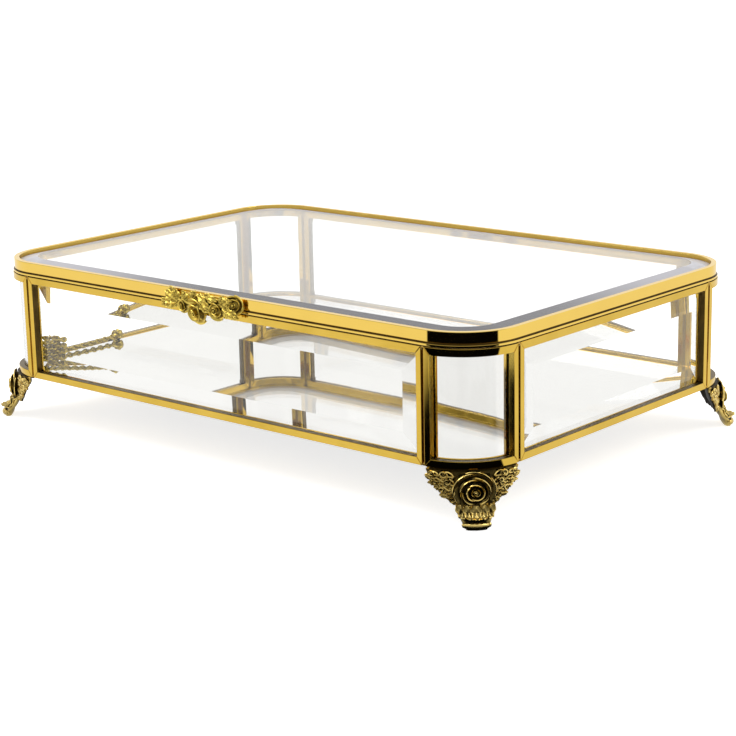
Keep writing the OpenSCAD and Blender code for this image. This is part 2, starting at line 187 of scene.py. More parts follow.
world = bpy.data.worlds.new("studio")
bpy.context.scene.world = world
world.use_nodes = True
add, calc = makers(world.node_tree)
sky = add("ShaderNodeTexCoord").outputs["Generated"]
seen, reflected = seen_rays(add, calc)
white = 1.0
for start, end, edge, top, light in (
    (FLAG_START, FLAG_END, FLAG_EDGE, FLAG_TOP, FLAG_LIGHT),
    (DIM_START, DIM_END, DIM_EDGE, DIM_TOP, DIM_LIGHT),
):
    arc, height = arc_mask(add, calc, sky, start, end, edge)
    low = calc("SUBTRACT", 1.0, smooth_step(calc, height, top * FADE_FROM, top))
    dark = calc("MULTIPLY", calc("MULTIPLY", arc, low), reflected)
    white = calc("MULTIPLY", white, calc("MULTIPLY_ADD", dark, light - 1.0, 1.0))
fill = calc("MULTIPLY", calc("SUBTRACT", 1.0, seen), DOME_FILL)
dome = add("ShaderNodeBackground", {
    "Color": DOME_WHITE, "Strength": calc("ADD", calc("MULTIPLY", seen, white), fill)})
add("ShaderNodeOutputWorld", {"Surface": dome.outputs[0]})

floor_material, add, calc = new_material("white_floor")
here = add("ShaderNodeTexCoord").outputs["Object"]
from_bend = add("ShaderNodeVectorMath", {0: here, 1: FLAG_CORNER}, operation="SUBTRACT").outputs[0]
arc, height = arc_mask(add, calc, from_bend, FLAG_START, FLAG_END, FLAG_EDGE)
reach = add("ShaderNodeVectorMath", {0: from_bend}, operation="LENGTH").outputs["Value"]
beyond = smooth_step(calc, reach, FLAG_NEAR, FLAG_NEAR * FLAG_FADE)
past = smooth_step(calc, reach, FLAG_FAR, FLAG_FAR * FLAG_FADE)
flagged = calc("MULTIPLY", arc, calc("SUBTRACT", beyond, past))
x, y, z = add("ShaderNodeSeparateXYZ", {0: here}).outputs
along = calc("DIVIDE", calc("ABSOLUTE", x), BOX_HALF_LENGTH)
across = calc("DIVIDE", calc("ABSOLUTE", y), BOX_HALF_DEPTH)
outside = smooth_step(calc, calc("MAXIMUM", along, across), SHADE_INNER, SHADE_OUTER)
# Painted shadow under the box in the floor's light as polished metal mirrors it
open_light = calc("MULTIPLY_ADD", outside, FLOOR_GLOSS - UNDER_LIGHT, UNDER_LIGHT)
mirrored_light = calc("MULTIPLY", open_light, calc("MULTIPLY_ADD", flagged, FLAG_LIGHT - 1.0, 1.0))
seen, reflected = seen_rays(add, calc)
paint = add("ShaderNodeBsdfDiffuse", {"Color": FLOOR_PAINT})
glow = add("ShaderNodeEmission", {"Strength": calc("MULTIPLY", seen, FLOOR_LIFT)})
lit = add("ShaderNodeAddShader", {0: paint.outputs[0], 1: glow.outputs[0]})
mirrored = add("ShaderNodeEmission", {"Strength": mirrored_light})
either = add("ShaderNodeMixShader", {0: reflected, 1: lit.outputs[0], 2: mirrored.outputs[0]})
add("ShaderNodeOutputMaterial", {"Surface": either.outputs[0]})

floor_mesh = bpy.data.meshes.new("floor")
shape = bmesh.new()
bmesh.ops.create_circle(shape, cap_ends=True, segments=FLOOR_SIDES, radius=FLOOR_RADIUS)
shape.to_mesh(floor_mesh)
shape.free()
floor_mesh.materials.append(floor_material)
linked("floor", floor_mesh)

# name: place, side of the square, power
SOFT_BOXES = {
    "key": (Vector((-0.9, -0.5, 1.5)), 1.0, 9.0),
    "fill": (Vector((1.2, 0.6, 1.3)), 0.9, 5.0),
}
for name, (place, size, power) in SOFT_BOXES.items():
    lamp = bpy.data.lights.new(name, "AREA")
    lamp.shape = "SQUARE"
    lamp.size = size
    lamp.energy = power
    facing = (place - AIM).to_track_quat("Z", "Y").to_matrix().to_4x4()
    linked(name, lamp).matrix_world = Matrix.Translation(place) @ facing


# ---- Brass ----
# All the metal is brass with a gold plating. The drawn channels are polished, in a darker copy of
# the brass that is painted shade; their window edges, and the rim's groove and underside, get dark
# or olive copies as painted shade. The castings keep a dark tone in their recesses, part patina and
# part painted shade. One group gives every piece its fine polishing marks.
PATCH_SIZE = 18 * MM
PATCH_START = 0.25  # haze below this keeps the first tone
SCRATCHES = 0.5  # share of the scratches in the haze
SCRATCH_TURN = (0.4, 0.9, 0.6)
SCRATCH_STRETCH = (1.0, 14.0, 14.0)
SCRATCH_SCALE = 220.0
SCRATCH_DEPTH = 0.02 * MM
RECESS_DULL = 0.35  # roughness that the dark marked places add


def grain(add, scale, detail=2.0, turn=None, stretch=None):
    """Noise on a piece's own coordinates, which may be turned and stretched."""
    here = add("ShaderNodeTexCoord").outputs["Object"]
    if stretch:
        here = add("ShaderNodeMapping", {"Vector": here, "Rotation": turn, "Scale": stretch}).outputs[0]
    return add("ShaderNodeTexNoise", {"Vector": here, "Scale": scale, "Detail": detail}).outputs["Fac"]


def relief(add, height, strength, distance):
    """The surface normal that a height gives."""
    bump = add("ShaderNodeBump", {"Height": height, "Strength": strength, "Distance": distance})
    return bump.outputs["Normal"]


def between(add, factor, first, second):
    """A colour between two others."""
    mix = add("ShaderNodeMix", {"Factor": factor, "A": first, "B": second}, data_type="RGBA")
    return mix.outputs["Result"]


def polish_group():
    """Worn polish: patches of haze, fine scratches and a slight unevenness of the surface."""
    tree = bpy.data.node_groups.new("polish_marks", "ShaderNodeTree")
    for name, way in (("Patch Size", "INPUT"), ("Scratches", "INPUT"),
                      ("Haze", "OUTPUT"), ("Height", "OUTPUT")):
        tree.interface.new_socket(name, in_out=way, socket_type="NodeSocketFloat")
    add, calc = makers(tree)
    given = add("NodeGroupInput").outputs
    patches = grain(add, calc("DIVIDE", 1.0, given["Patch Size"]), 3.0)
    scratches = grain(add, SCRATCH_SCALE, 2.0, SCRATCH_TURN, SCRATCH_STRETCH)
    fine = calc("MULTIPLY", scratches, given["Scratches"])
    add("NodeGroupOutput", {"Haze": calc("ADD", patches, fine), "Height": fine})
    return tree


POLISH = polish_group()


def brass(name, colour, shade, roughness, haze, bump, patina_and_shade_colour=None):
    """Plated brass that wanders between two tones, dull and dark where a point attribute marks patina in
    the hollows and painted shade.
    """
    material, add, calc = new_material(name)
    marks = add("ShaderNodeGroup", {"Patch Size": PATCH_SIZE, "Scratches": SCRATCHES},
                node_tree=POLISH).outputs
    wander = calc("SUBTRACT", marks["Haze"], PATCH_START, clamp=True)
    tone = between(add, wander, (*colour, 1), (*shade, 1))
    rough = calc("MULTIPLY_ADD", marks["Haze"], haze, roughness)
    if patina_and_shade_colour:
        depth = add("ShaderNodeAttribute", attribute_name="patina_and_shade").outputs["Fac"]
        tone = between(add, depth, tone, (*patina_and_shade_colour, 1))
        rough = calc("MULTIPLY_ADD", depth, RECESS_DULL, rough)
    metal = add("ShaderNodeBsdfPrincipled", {
        "Metallic": 1.0, "Base Color": tone, "Roughness": rough,
        "Normal": relief(add, marks["Height"], bump, SCRATCH_DEPTH)})
    add("ShaderNodeOutputMaterial", {"Surface": metal.outputs[0]})
    return material


POLISHED_BRASS = brass("polished_brass", (0.93, 0.645, 0.135), (0.85, 0.575, 0.12), 0.02, 0.03, 0.12)
# A darker copy of the polished brass for the frames: painted shade
CHANNEL_BRASS_PAINTED_SHADE = brass("channel_brass_painted_shade", (0.84, 0.565, 0.105), (0.60, 0.39, 0.05), 0.02, 0.04, 0.12)
# Painted shade: a dark copy of the brass on the window edges and in the rim's groove and underside
PAINTED_SHADE_BRASS = brass("painted_shade_brass", (0.16, 0.105, 0.03), (0.09, 0.055, 0.012), 0.22, 0.2, 0.4)
# Painted shade, lighter and olive, on the window edges of the bent frames' uprights
OLIVE_PAINTED_SHADE_BRASS = brass("olive_painted_shade_brass", (0.66, 0.48, 0.11), (0.44, 0.31, 0.05), 0.08, 0.1, 0.3)


# ---- Pane frames ----
# Eight frames of a brass channel, four straight and four bent to a quarter circle. Each is
# four lengths cut to a mitre, with the pane in the groove, and soldered at the corners.
CORNER_RADIUS = 28 * MM
RAIL = 3.3 * MM
STILE = 2.8 * MM
SEAM = 1.2 * MM
CHANNEL = 6 * MM  # depth of the channel
PANE_BACK = 4.8 * MM
FLAT_GROOVE = 1.672 * MM
BENT_GROOVE = 2.1 * MM
BITE = 1.6 * MM  # how far a pane reaches into its frame
MITRE = 0.05 * MM
EDGE_ROUND = 0.22 * MM
EDGE_SEGMENTS = 2
SIDES = ("front", "right", "back", "left")
CORNERS = ("right_back", "left_back", "left_front", "right_front")
CORNER_SIGNS = ((1, 1), (-1, 1), (-1, -1), (1, -1))
BEND_STEPS = 28
CREASE = math.radians(15)
MERGE_DISTANCE = 0.001 * MM

front_low, front_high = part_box("front_frame")
back_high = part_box("back_frame")[1]
BODY_MIDDLE = (front_low.y + back_high.y) / 2
BODY_BOTTOM = front_low.z
PANEL_HEIGHT = front_high.z - front_low.z
HALF_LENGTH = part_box("right_frame")[1].x
HALF_DEPTH = (back_high.y - front_low.y) / 2
BODY = Matrix.Translation((0, BODY_MIDDLE, BODY_BOTTOM))


def side_matrix(i):
    """Takes a side drawn along X, with its face on the XZ plane and +Y inwards, to its place."""
    out = HALF_DEPTH if i % 2 == 0 else HALF_LENGTH
    return BODY @ Matrix.Rotation(math.radians(90 * i), 4, "Z") @ Matrix.Translation((0, -out, 0))


def corner_matrix(i, turn=0, height=0):
    """Takes a corner drawn in +X +Y about the centre of its bend to its place."""
    x, y = CORNER_SIGNS[i]
    centre = (x * (HALF_LENGTH - CORNER_RADIUS), y * (HALF_DEPTH - CORNER_RADIUS), height)
    return BODY @ Matrix.Translation(centre) @ Matrix.Rotation(math.radians(90 * i + turn), 4, "Z")


def side_length(i):
    """Length of a straight frame, between the seams at its ends."""
    return 2 * ((HALF_LENGTH if i % 2 == 0 else HALF_DEPTH) - CORNER_RADIUS) - SEAM


def smooth_faces(mesh, crease):
    """Shades a mesh smooth, apart from its edges that are sharper than a crease."""
    for face in mesh.polygons:
        face.use_smooth = True
    mesh.set_sharp_from_angle(angle=crease)


def meshed(shape, name, finishes, crease):
    """Turns a bmesh into a plain mesh: merged, faces outwards, smooth between its creases."""
    bmesh.ops.remove_doubles(shape, verts=shape.verts, dist=MERGE_DISTANCE)
    bmesh.ops.recalc_face_normals(shape, faces=shape.faces)
    mesh = bpy.data.meshes.new(name)
    shape.to_mesh(mesh)
    shape.free()
    for finish in finishes:
        mesh.materials.append(finish)
    smooth_faces(mesh, crease)
    return mesh


def applied(piece):
    """Gives a piece the plain mesh that its modifiers make, and leaves none of them on it."""
    evaluated = piece.evaluated_get(bpy.context.evaluated_depsgraph_get())
    mesh = bpy.data.meshes.new_from_object(evaluated)
    piece.modifiers.clear()
    piece.data = mesh


def fit(piece, body, nodes):
    """Fixes a piece to its body in place of its plain solids."""
    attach(piece, body)
    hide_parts(*nodes)


def finished(shape, name, finishes, body, nodes, crease=CREASE,
             place=Matrix(), edge_round=0):
    """Puts a bmesh in its place as a finished piece, with its sharp edges rounded if asked."""
    shape.transform(place)
    piece = linked(name, meshed(shape, name, finishes, crease))
    if edge_round:
        soften = piece.modifiers.new("edges", "BEVEL")
        soften.width = edge_round
        soften.segments = EDGE_SEGMENTS
        soften.limit_method = "ANGLE"
        soften.angle_limit = crease
        applied(piece)
        smooth_faces(piece.data, crease)
    fit(piece, body, nodes)
    return piece


def loft(shape, sections, ring=False):
    """Skins a row of closed sections, capped at both ends unless the row closes on itself."""
    rows = [[shape.verts.new(point) for point in section] for section in sections]
    pairs = list(zip(rows, rows[1:])) + ([(rows[-1], rows[0])] if ring else [])
    faces = []
    for a, b in pairs:
        n = len(a)
        faces += [shape.faces.new((a[j], a[(j + 1) % n], b[(j + 1) % n], b[j])) for j in range(n)]
    if not ring:
        faces += [shape.faces.new(rows[0][::-1]), shape.faces.new(rows[-1])]
    return faces


def flat_track(length):
    """Plan of a straight side: t runs from 0 to 1 between two insets from its ends."""
    def track(inset, depth, t):
        return (-length / 2 + inset + t * (length - 2 * inset), depth)
    return track


def bent_track(inset, depth, t):
    """Plan of a bent corner, whose ends are cut square, SEAM / 2 from the centre lines."""
    radius = CORNER_RADIUS - depth
    start = math.asin((SEAM / 2 + inset) / radius)
    angle = start + t * (math.pi / 2 - 2 * start)
    return (radius * math.cos(angle), radius * math.sin(angle))


def channel(groove):
    """Section of the channel: distance out from the window, None at the outer edge, and depth."""
    return [
        (None, 0), (0, 0), (0, PANE_BACK - groove), (BITE, PANE_BACK - groove),
        (BITE, PANE_BACK), (0, PANE_BACK), (0, CHANNEL), (None, CHANNEL),
    ]


def frame_shape(track, groove, steps):
    """Two rails and two stiles. Finish 1 is the painted shade on the lips of the rails, 2 on the stiles'.
    """
    section = channel(groove)
    insets = [(0, 0, depth) if out is None else (RAIL - out, STILE - out, depth)
              for out, depth in section]
    shape = bmesh.new()
    for top in (False, True):
        rows = [[(*track(stile + MITRE, depth, n / steps), PANEL_HEIGHT - rail if top else rail)
                 for rail, stile, depth in insets] for n in range(steps + 1)]
        paint_lip_shade(loft(shape, rows), len(section), 1)
    for t in (0, 1):
        rows = [[(*track(stile, depth, t), PANEL_HEIGHT - rail - MITRE if top else rail + MITRE)
                 for rail, stile, depth in insets] for top in (False, True)]
        paint_lip_shade(loft(shape, rows), len(section), 2)
    return shape


def paint_lip_shade(faces, sides, finish):
    """Paints shade on the edge of the window before the pane: its inner wall gets a dark finish."""
    for n, face in enumerate(faces[:-2]):
        if n % sides == 1:
            face.material_index = finish


# The window edges of the frames carry painted shade
for i, side in enumerate(SIDES):
    finished(frame_shape(flat_track(side_length(i)), FLAT_GROOVE, 1), side + "_channel",
             (CHANNEL_BRASS_PAINTED_SHADE, PAINTED_SHADE_BRASS, PAINTED_SHADE_BRASS), "case", [side + "_frame"],
             place=side_matrix(i), edge_round=EDGE_ROUND)
for i, corner in enumerate(CORNERS):
    finished(frame_shape(bent_track, BENT_GROOVE, BEND_STEPS), corner + "_channel",
             (CHANNEL_BRASS_PAINTED_SHADE, PAINTED_SHADE_BRASS, OLIVE_PAINTED_SHADE_BRASS), "case", [corner + "_corner_frame"],
             place=corner_matrix(i), edge_round=EDGE_ROUND)


# ---- Seams ----
# Eight upright seams of plated solder join the frames. Each is a strip behind a slightly
# uneven bead, with a small ball of solder at its top and its foot.
SEAM_RECESS = 0.9 * MM
SEAM_STEPS = 60
SEAM_SIDES = 12
SEAM_UNEVEN = 0.12  # share of the bead's radius
SEAM_WAVES = 260  # scale of the unevenness, per metre
BALL_RADIUS = 0.95 * MM
FOOT_BALL = 0.8  # the ball at the foot, as a share of the one at the top
BALL_DEPTH = 0.7 * MM
BALL_BELOW = 0.65 * MM
BALL_ABOVE = 0.7 * MM
SOLDER = brass("solder", (0.50, 0.32, 0.07), (0.36, 0.22, 0.05), 0.16, 0.1, 0.4)


def ball(shape, centre, radius, rings=8, sides=14):
    """A small closed sphere in the mesh, and its points: both poles and the rows between them."""
    centre = Vector(centre)
    top, foot = [shape.verts.new(centre + Vector((0, 0, z))) for z in (radius, -radius)]
    rows = []
    for r in range(1, rings):
        tilt = math.pi * r / rings
        out, z = radius * math.sin(tilt), radius * math.cos(tilt)
        turns = [2 * math.pi * j / sides for j in range(sides)]
        rows.append([shape.verts.new(centre + Vector((out * math.sin(a), out * math.cos(a), z)))
                     for a in turns])
    for j in range(sides):
        shape.faces.new((top, rows[0][j], rows[0][j - 1]))
        shape.faces.new((foot, rows[-1][j - 1], rows[-1][j]))
        for a, b in zip(rows, rows[1:]):
            shape.faces.new((a[j], b[j], b[j - 1], a[j - 1]))
    return [top, foot, *(vertex for row in rows for vertex in row)]


def seam_shape(shape, place):
    """One seam about the origin, its bead SEAM_RECESS behind the faces."""
    half = SEAM / 2
    bead_depth = SEAM_RECESS + half
    strip = ((-half, bead_depth), (half, bead_depth), (half, CHANNEL), (-half, CHANNEL))
    loft(shape, [[place @ Vector((x, y, z)) for x, y in strip] for z in (0, PANEL_HEIGHT)])
    rows = []
    for n in range(SEAM_STEPS + 1):
        z = PANEL_HEIGHT * n / SEAM_STEPS
        radius = half * (1 + SEAM_UNEVEN * noise.noise(place @ Vector((0, 0, z)) * SEAM_WAVES))
        turns = [2 * math.pi * j / SEAM_SIDES for j in range(SEAM_SIDES)]
        rows.append([place @ Vector((radius * math.cos(a), bead_depth + radius * math.sin(a), z))
                     for a in turns])
    loft(shape, rows)


shape = bmesh.new()
for i in range(4):
    for end in (-1, 1):
        place = side_matrix(i) @ Matrix.Translation((end * (side_length(i) + SEAM) / 2, 0, 0))
        seam_shape(shape, place)
        ball(shape, place @ Vector((0, BALL_DEPTH, PANEL_HEIGHT - BALL_BELOW)), BALL_RADIUS)
        ball(shape, place @ Vector((0, BALL_DEPTH, BALL_ABOVE)), FOOT_BALL * BALL_RADIUS)
finished(shape, "seams", [SOLDER], "case", ["seam_strips"])


# ---- Panes ----
# Clear glass. The four long panes are bevelled all round on the outside and flat behind;
# the four corner panes are bent to the corner. They sit in the grooves of their frames.
PANE_THICKNESS = 3 * MM
PANE_EDGE = 1.3 * MM
PANE_BEVEL = 10 * MM
BENT_THICKNESS = 2 * MM
PLAY = 0.05 * MM
BEVEL_CREASE = math.radians(6)
RIPPLE_SCALE = 45.0
PASSING_TINT = (0.96, 0.97, 0.965, 1)


def clear_glass(name, tint, wave, shine, painted_reflection=None):
    """Polished glass, with a painted reflection mixed in if asked; shadow rays pass, so that the box is
    light inside.
    """
    material, add, calc = new_material(name)
    glass = add("ShaderNodeBsdfPrincipled", {
        "Base Color": (*tint, 1), "Transmission Weight": 1.0, "IOR": 1.5, "Roughness": 0.0,
        "Specular IOR Level": shine, "Normal": relief(add, grain(add, RIPPLE_SCALE, 1.0), 1.0, wave)})
    passing = add("ShaderNodeBsdfTransparent", {"Color": PASSING_TINT})
    path = add("ShaderNodeLightPath").outputs
    unseen = calc("MAXIMUM", path["Is Shadow Ray"], path["Is Diffuse Ray"])
    surface = add("ShaderNodeMixShader", {0: unseen, 1: glass.outputs[0], 2: passing.outputs[0]})
    if painted_reflection:
        surface = painted_reflection(add, calc, surface)
    add("ShaderNodeOutputMaterial", {"Surface": surface.outputs[0]})
    return material


def pane_shape(length):
    """A pane whose face is bevelled on all four sides."""
    half_w = length / 2 - STILE + BITE - PLAY
    half_h = PANEL_HEIGHT / 2 - RAIL + BITE - PLAY
    back = PANE_BACK - PLAY
    shape = bmesh.new()
    loft(shape, [[(x * (half_w - inset), depth, PANEL_HEIGHT / 2 + z * (half_h - inset))
                  for x, z in ((-1, -1), (1, -1), (1, 1), (-1, 1))]
                 for inset, depth in ((0, back), (0, back - PANE_EDGE),
                                      (PANE_BEVEL, back - PANE_THICKNESS))])
    return shape


def bent_pane_shape():
    """A plain pane bent to the corner."""
    inset = STILE - BITE + PLAY
    low = RAIL - BITE + PLAY
    high = PANEL_HEIGHT - low
    back = PANE_BACK - PLAY
    face = back - BENT_THICKNESS
    shape = bmesh.new()
    loft(shape, [[(*bent_track(inset, depth, n / BEND_STEPS), z)
                  for depth, z in ((face, low), (back, low), (back, high), (face, high))]
                 for n in range(BEND_STEPS + 1)])
    return shape


PANE_GLASS = clear_glass("pane_glass", (0.995, 0.995, 0.985), 0.0015 * MM, 0.15)
for i, side in enumerate(SIDES):
    finished(pane_shape(side_length(i)), side + "_glass", [PANE_GLASS], "case", [side + "_pane"],
             BEVEL_CREASE, side_matrix(i))
for i, corner in enumerate(CORNERS):
    finished(bent_pane_shape(), corner + "_glass", [PANE_GLASS], "case", [corner + "_corner_pane"],
             place=corner_matrix(i))


# ---- Mirror base ----
# A sheet of mirror with a small polished bevel, silvered and painted grey underneath. It
# lies on a brass ledge that is soldered inside the frames.
LEDGE = 0.8 * MM
MIRROR_THICKNESS = 1.6 * MM
MIRROR_TOP = LEDGE + MIRROR_THICKNESS
MIRROR_INSET = CHANNEL + 0.3 * MM
MIRROR_BEVEL = 0.5 * MM
MIRROR_BEVEL_DROP = 0.4 * MM
SILVER = ((0.95, 0.945, 0.93, 1), (0.91, 0.905, 0.885, 1))
MOTTLE_SCALE = 30.0
MOTTLE_HAZE = 0.02
BACKING_GREY = ((0.20, 0.205, 0.21, 1), (0.26, 0.265, 0.27, 1))
PEEL_SCALE = 700.0
PEEL_DEPTH = 0.03 * MM


def outline(inset, z):
    """The rounded plan of the box, drawn in by an inset, in body coordinates."""
    radius = CORNER_RADIUS - inset
    points = []
    for i, (x, y) in enumerate(CORNER_SIGNS):
        for n in range(BEND_STEPS + 1):
            angle = math.pi / 2 * (i + n / BEND_STEPS)
            points.append((x * (HALF_LENGTH - CORNER_RADIUS) + radius * math.cos(angle),
                           y * (HALF_DEPTH - CORNER_RADIUS) + radius * math.sin(angle), z))
    return points


def silver_material():
    """Silvered glass, with a faint mottle of its own."""
    material, add, calc = new_material("silvered_glass")
    mottle = grain(add, MOTTLE_SCALE, 4.0)
    mirror = add("ShaderNodeBsdfPrincipled", {
        "Metallic": 1.0, "Base Color": between(add, mottle, *SILVER),
        "Roughness": calc("MULTIPLY", mottle, MOTTLE_HAZE)})
    add("ShaderNodeOutputMaterial", {"Surface": mirror.outputs[0]})
    return material


def backing_material():
    """Grey protective paint on the back of the mirror, slightly orange-peeled."""
    material, add, calc = new_material("mirror_backing")
    peel = grain(add, PEEL_SCALE)
    paint = add("ShaderNodeBsdfPrincipled", {
        "Roughness": 0.5, "Base Color": between(add, peel, *BACKING_GREY),
        "Normal": relief(add, peel, 0.3, PEEL_DEPTH)})
    add("ShaderNodeOutputMaterial", {"Surface": paint.outputs[0]})
    return material


shape = bmesh.new()
faces = loft(shape, [outline(MIRROR_INSET, LEDGE), outline(MIRROR_INSET, MIRROR_TOP - MIRROR_BEVEL_DROP),
                     outline(MIRROR_INSET + MIRROR_BEVEL, MIRROR_TOP)])
underside = faces[-2]
underside.material_index = 1
finished(shape, "mirror", (silver_material(), backing_material()), "case", ["mirror_base"],
         BEVEL_CREASE, BODY)


def repaint(node, material):
    """Gives a piece of the frame model its finish in place of the plain one."""
    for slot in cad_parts[node].material_slots:
        slot.material = material


repaint("mirror_ledge", POLISHED_BRASS)


# ---- Lid ----
# A drawn brass rim with a bead along its foot and a lip turned over the glass, round one
# bevelled sheet of glass that lies on the rim's inner ledge.
rim_low, rim_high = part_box("lid_rim")
LID_BOTTOM = rim_low.z - BODY_BOTTOM
RIM_HEIGHT = rim_high.z - rim_low.z
RIM_INSET = 0.8 * MM
RIM_WALL = 1.6 * MM
BEAD_HEIGHT = 1.0 * MM
BEAD_INSET = 0.2 * MM
GROOVE_HEIGHT = 0.5 * MM
GROOVE_DEPTH = 0.4 * MM
GROOVE_MARGIN = 0.05 * MM
RIM_LEDGE = 5 * MM
LIP_THICKNESS = 0.6 * MM
LIP_REACH = 1.0 * MM
LID_THICKNESS = 5 * MM
LID_EDGE = 3 * MM
LID_BEVEL = 10 * MM
LID_TINT = (0.99, 0.99, 0.99)
LID_WAVE = 0.002 * MM
LID_SHINE = 0.5
# A pale violet painted reflection on the lid's bevel: its colour and how much of it there is
BEVEL_REFLECTION_COLOUR = (0.80, 0.79, 0.84, 1)
BEVEL_REFLECTION_NEAR = 0.20  # share of the painted reflection on the bevel, near the front right corner
BEVEL_REFLECTION_FAR = 0.72  # and at the far ends of the front and of the right side
BEVEL_REFLECTION_LEFT = 115 * MM  # how far left of the middle it is whole
BEVEL_REFLECTION_FRONT = -50 * MM  # where it starts and is whole along the depth
BEVEL_REFLECTION_BACK = 60 * MM
LID = BODY @ Matrix.Translation((0, 0, LID_BOTTOM))

groove_wall = RIM_INSET + GROOVE_DEPTH
groove_top = BEAD_HEIGHT + GROOVE_HEIGHT
inner_wall = RIM_INSET + RIM_WALL
lip_low = RIM_HEIGHT - LIP_THICKNESS
rim_section = [
    (BEAD_INSET, 0), (BEAD_INSET, BEAD_HEIGHT), (groove_wall, BEAD_HEIGHT), (groove_wall, groove_top),
    (RIM_INSET, groove_top), (RIM_INSET, RIM_HEIGHT), (inner_wall + LIP_REACH, RIM_HEIGHT),
    (inner_wall + LIP_REACH, lip_low), (inner_wall, lip_low), (inner_wall, BEAD_HEIGHT),
    (RIM_LEDGE, BEAD_HEIGHT), (RIM_LEDGE, 0),
]
shape = bmesh.new()
loops = [outline(inset, z) for inset, z in rim_section]
loft(shape, [[loop[n] for loop in loops] for n in range(len(loops[0]))], ring=True)
rim = finished(shape, "rim", (POLISHED_BRASS, PAINTED_SHADE_BRASS), "lid", ["lid_rim"], place=LID,
               edge_round=EDGE_ROUND)
# Painted shade in the groove above the bead and on the rim's underside
dark_low = rim_low.z + BEAD_HEIGHT - GROOVE_MARGIN
dark_high = rim_low.z + groove_top + GROOVE_MARGIN
for face in rim.data.polygons:
    underside = face.normal.z < -0.5 and face.center.z < dark_low
    if dark_low < face.center.z < dark_high or underside:
        face.material_index = 1


def painted_bevel_reflection(add, calc, clear):
    """A pale violet painted reflection on the bevel, a diffuse mixed into the glass, thicker at its far
    ends.
    """
    x, y, z = add("ShaderNodeSeparateXYZ", {0: add("ShaderNodeTexCoord").outputs["Object"]}).outputs
    leftwards = smooth_step(calc, calc("MULTIPLY", x, -1.0), 0.0, BEVEL_REFLECTION_LEFT)
    backwards = smooth_step(calc, y, BEVEL_REFLECTION_FRONT, BEVEL_REFLECTION_BACK)
    amount = calc("MULTIPLY_ADD", calc("MAXIMUM", leftwards, backwards), BEVEL_REFLECTION_FAR - BEVEL_REFLECTION_NEAR, BEVEL_REFLECTION_NEAR)
    haze = add("ShaderNodeBsdfDiffuse", {"Color": BEVEL_REFLECTION_COLOUR})
    return add("ShaderNodeMixShader", {0: amount, 1: clear.outputs[0], 2: haze.outputs[0]})


LID_GLASS = clear_glass("lid_glass", LID_TINT, LID_WAVE, LID_SHINE)
# The bevel's glass carries the painted reflection
BEVEL_GLASS_PAINTED_REFLECTION = clear_glass("bevel_painted_reflection", LID_TINT, LID_WAVE, LID_SHINE, painted_bevel_reflection)
edge_inset = inner_wall + PLAY
shape = bmesh.new()
loft(shape, [outline(edge_inset, BEAD_HEIGHT), outline(edge_inset, BEAD_HEIGHT + LID_EDGE),
             outline(edge_inset + LID_BEVEL, BEAD_HEIGHT + LID_THICKNESS)])
lid_sheet = finished(shape, "lid_sheet", (LID_GLASS, BEVEL_GLASS_PAINTED_REFLECTION), "lid", ["lid_pane"],
                     BEVEL_CREASE, LID)
for face in lid_sheet.data.polygons:
    on_bevel = 0.5 < face.normal.z < 0.999
    face.material_index = 1 if on_bevel else 0


# ---- Hinges ----
# Two small butt hinges on the back: leaves soldered to the rim and the top rail, and a pin
# with ball tips.
for hinge in ("left", "right"):
    for part in ("_hinge_body_leaf", "_hinge_lid_leaf", "_hinge_pin"):
        repaint(hinge + part, POLISHED_BRASS)


# ---- Feet ----
# Four brass castings, one under each bent corner: a full-blown rose between two leafy
# wings, a leafy knuckle and a scrolled toe. They are soldered to the rail and the ledge.
FOOT_HEIGHT = BODY_BOTTOM
FOOT_ROSE_HEIGHT = 14.6 * MM
FOOT_ROSE_OUT = 0.7 * MM
FOOT_ROSE_SQUASH = 0.9
ROSE_RADIUS = 8.6 * MM
CAST_CREASE = math.radians(50)
# Pale on the ridges, part brass and part painted highlight; near black in the hollows, part patina and
# part painted shade
CAST_BRASS = brass("cast_brass", (1.0, 0.77, 0.27), (0.82, 0.58, 0.15), 0.12, 0.10, 0.8,
                   (0.020, 0.013, 0.004))


def sheet(shape, point, rows, columns, thickness):
    """A closed curved sheet: point(u, v) gives its face for u and v from 0 to 1."""
    face = [[Vector(point(r / rows, c / columns)) for c in range(columns + 1)] for r in range(rows + 1)]
    front, back = [], []
    for r in range(rows + 1):
        front.append([shape.verts.new(p) for p in face[r]])
        row = []
        for c in range(columns + 1):
            along = face[min(r + 1, rows)][c] - face[max(r - 1, 0)][c]
            across = face[r][min(c + 1, columns)] - face[r][max(c - 1, 0)]
            row.append(shape.verts.new(face[r][c] - along.cross(across).normalized() * thickness))
        back.append(row)
    for r in range(rows):
        for c in range(columns):
            shape.faces.new((front[r][c], front[r + 1][c], front[r + 1][c + 1], front[r][c + 1]))
            shape.faces.new((back[r][c], back[r][c + 1], back[r + 1][c + 1], back[r + 1][c]))
        for c, turn_round in ((0, True), (columns, False)):
            side_face = (front[r][c], front[r + 1][c], back[r + 1][c], back[r][c])
            shape.faces.new(side_face[::-1] if turn_round else side_face)
    for c in range(columns):
        for r, turn_round in ((0, False), (rows, True)):
            end_face = (front[r][c], front[r][c + 1], back[r][c + 1], back[r][c])
            shape.faces.new(end_face[::-1] if turn_round else end_face)


def circle(count):
    """Cosines and sines of a full turn in equal steps."""
    turns = [2 * math.pi * j / count for j in range(count)]
    return [(math.cos(a), math.sin(a)) for a in turns]


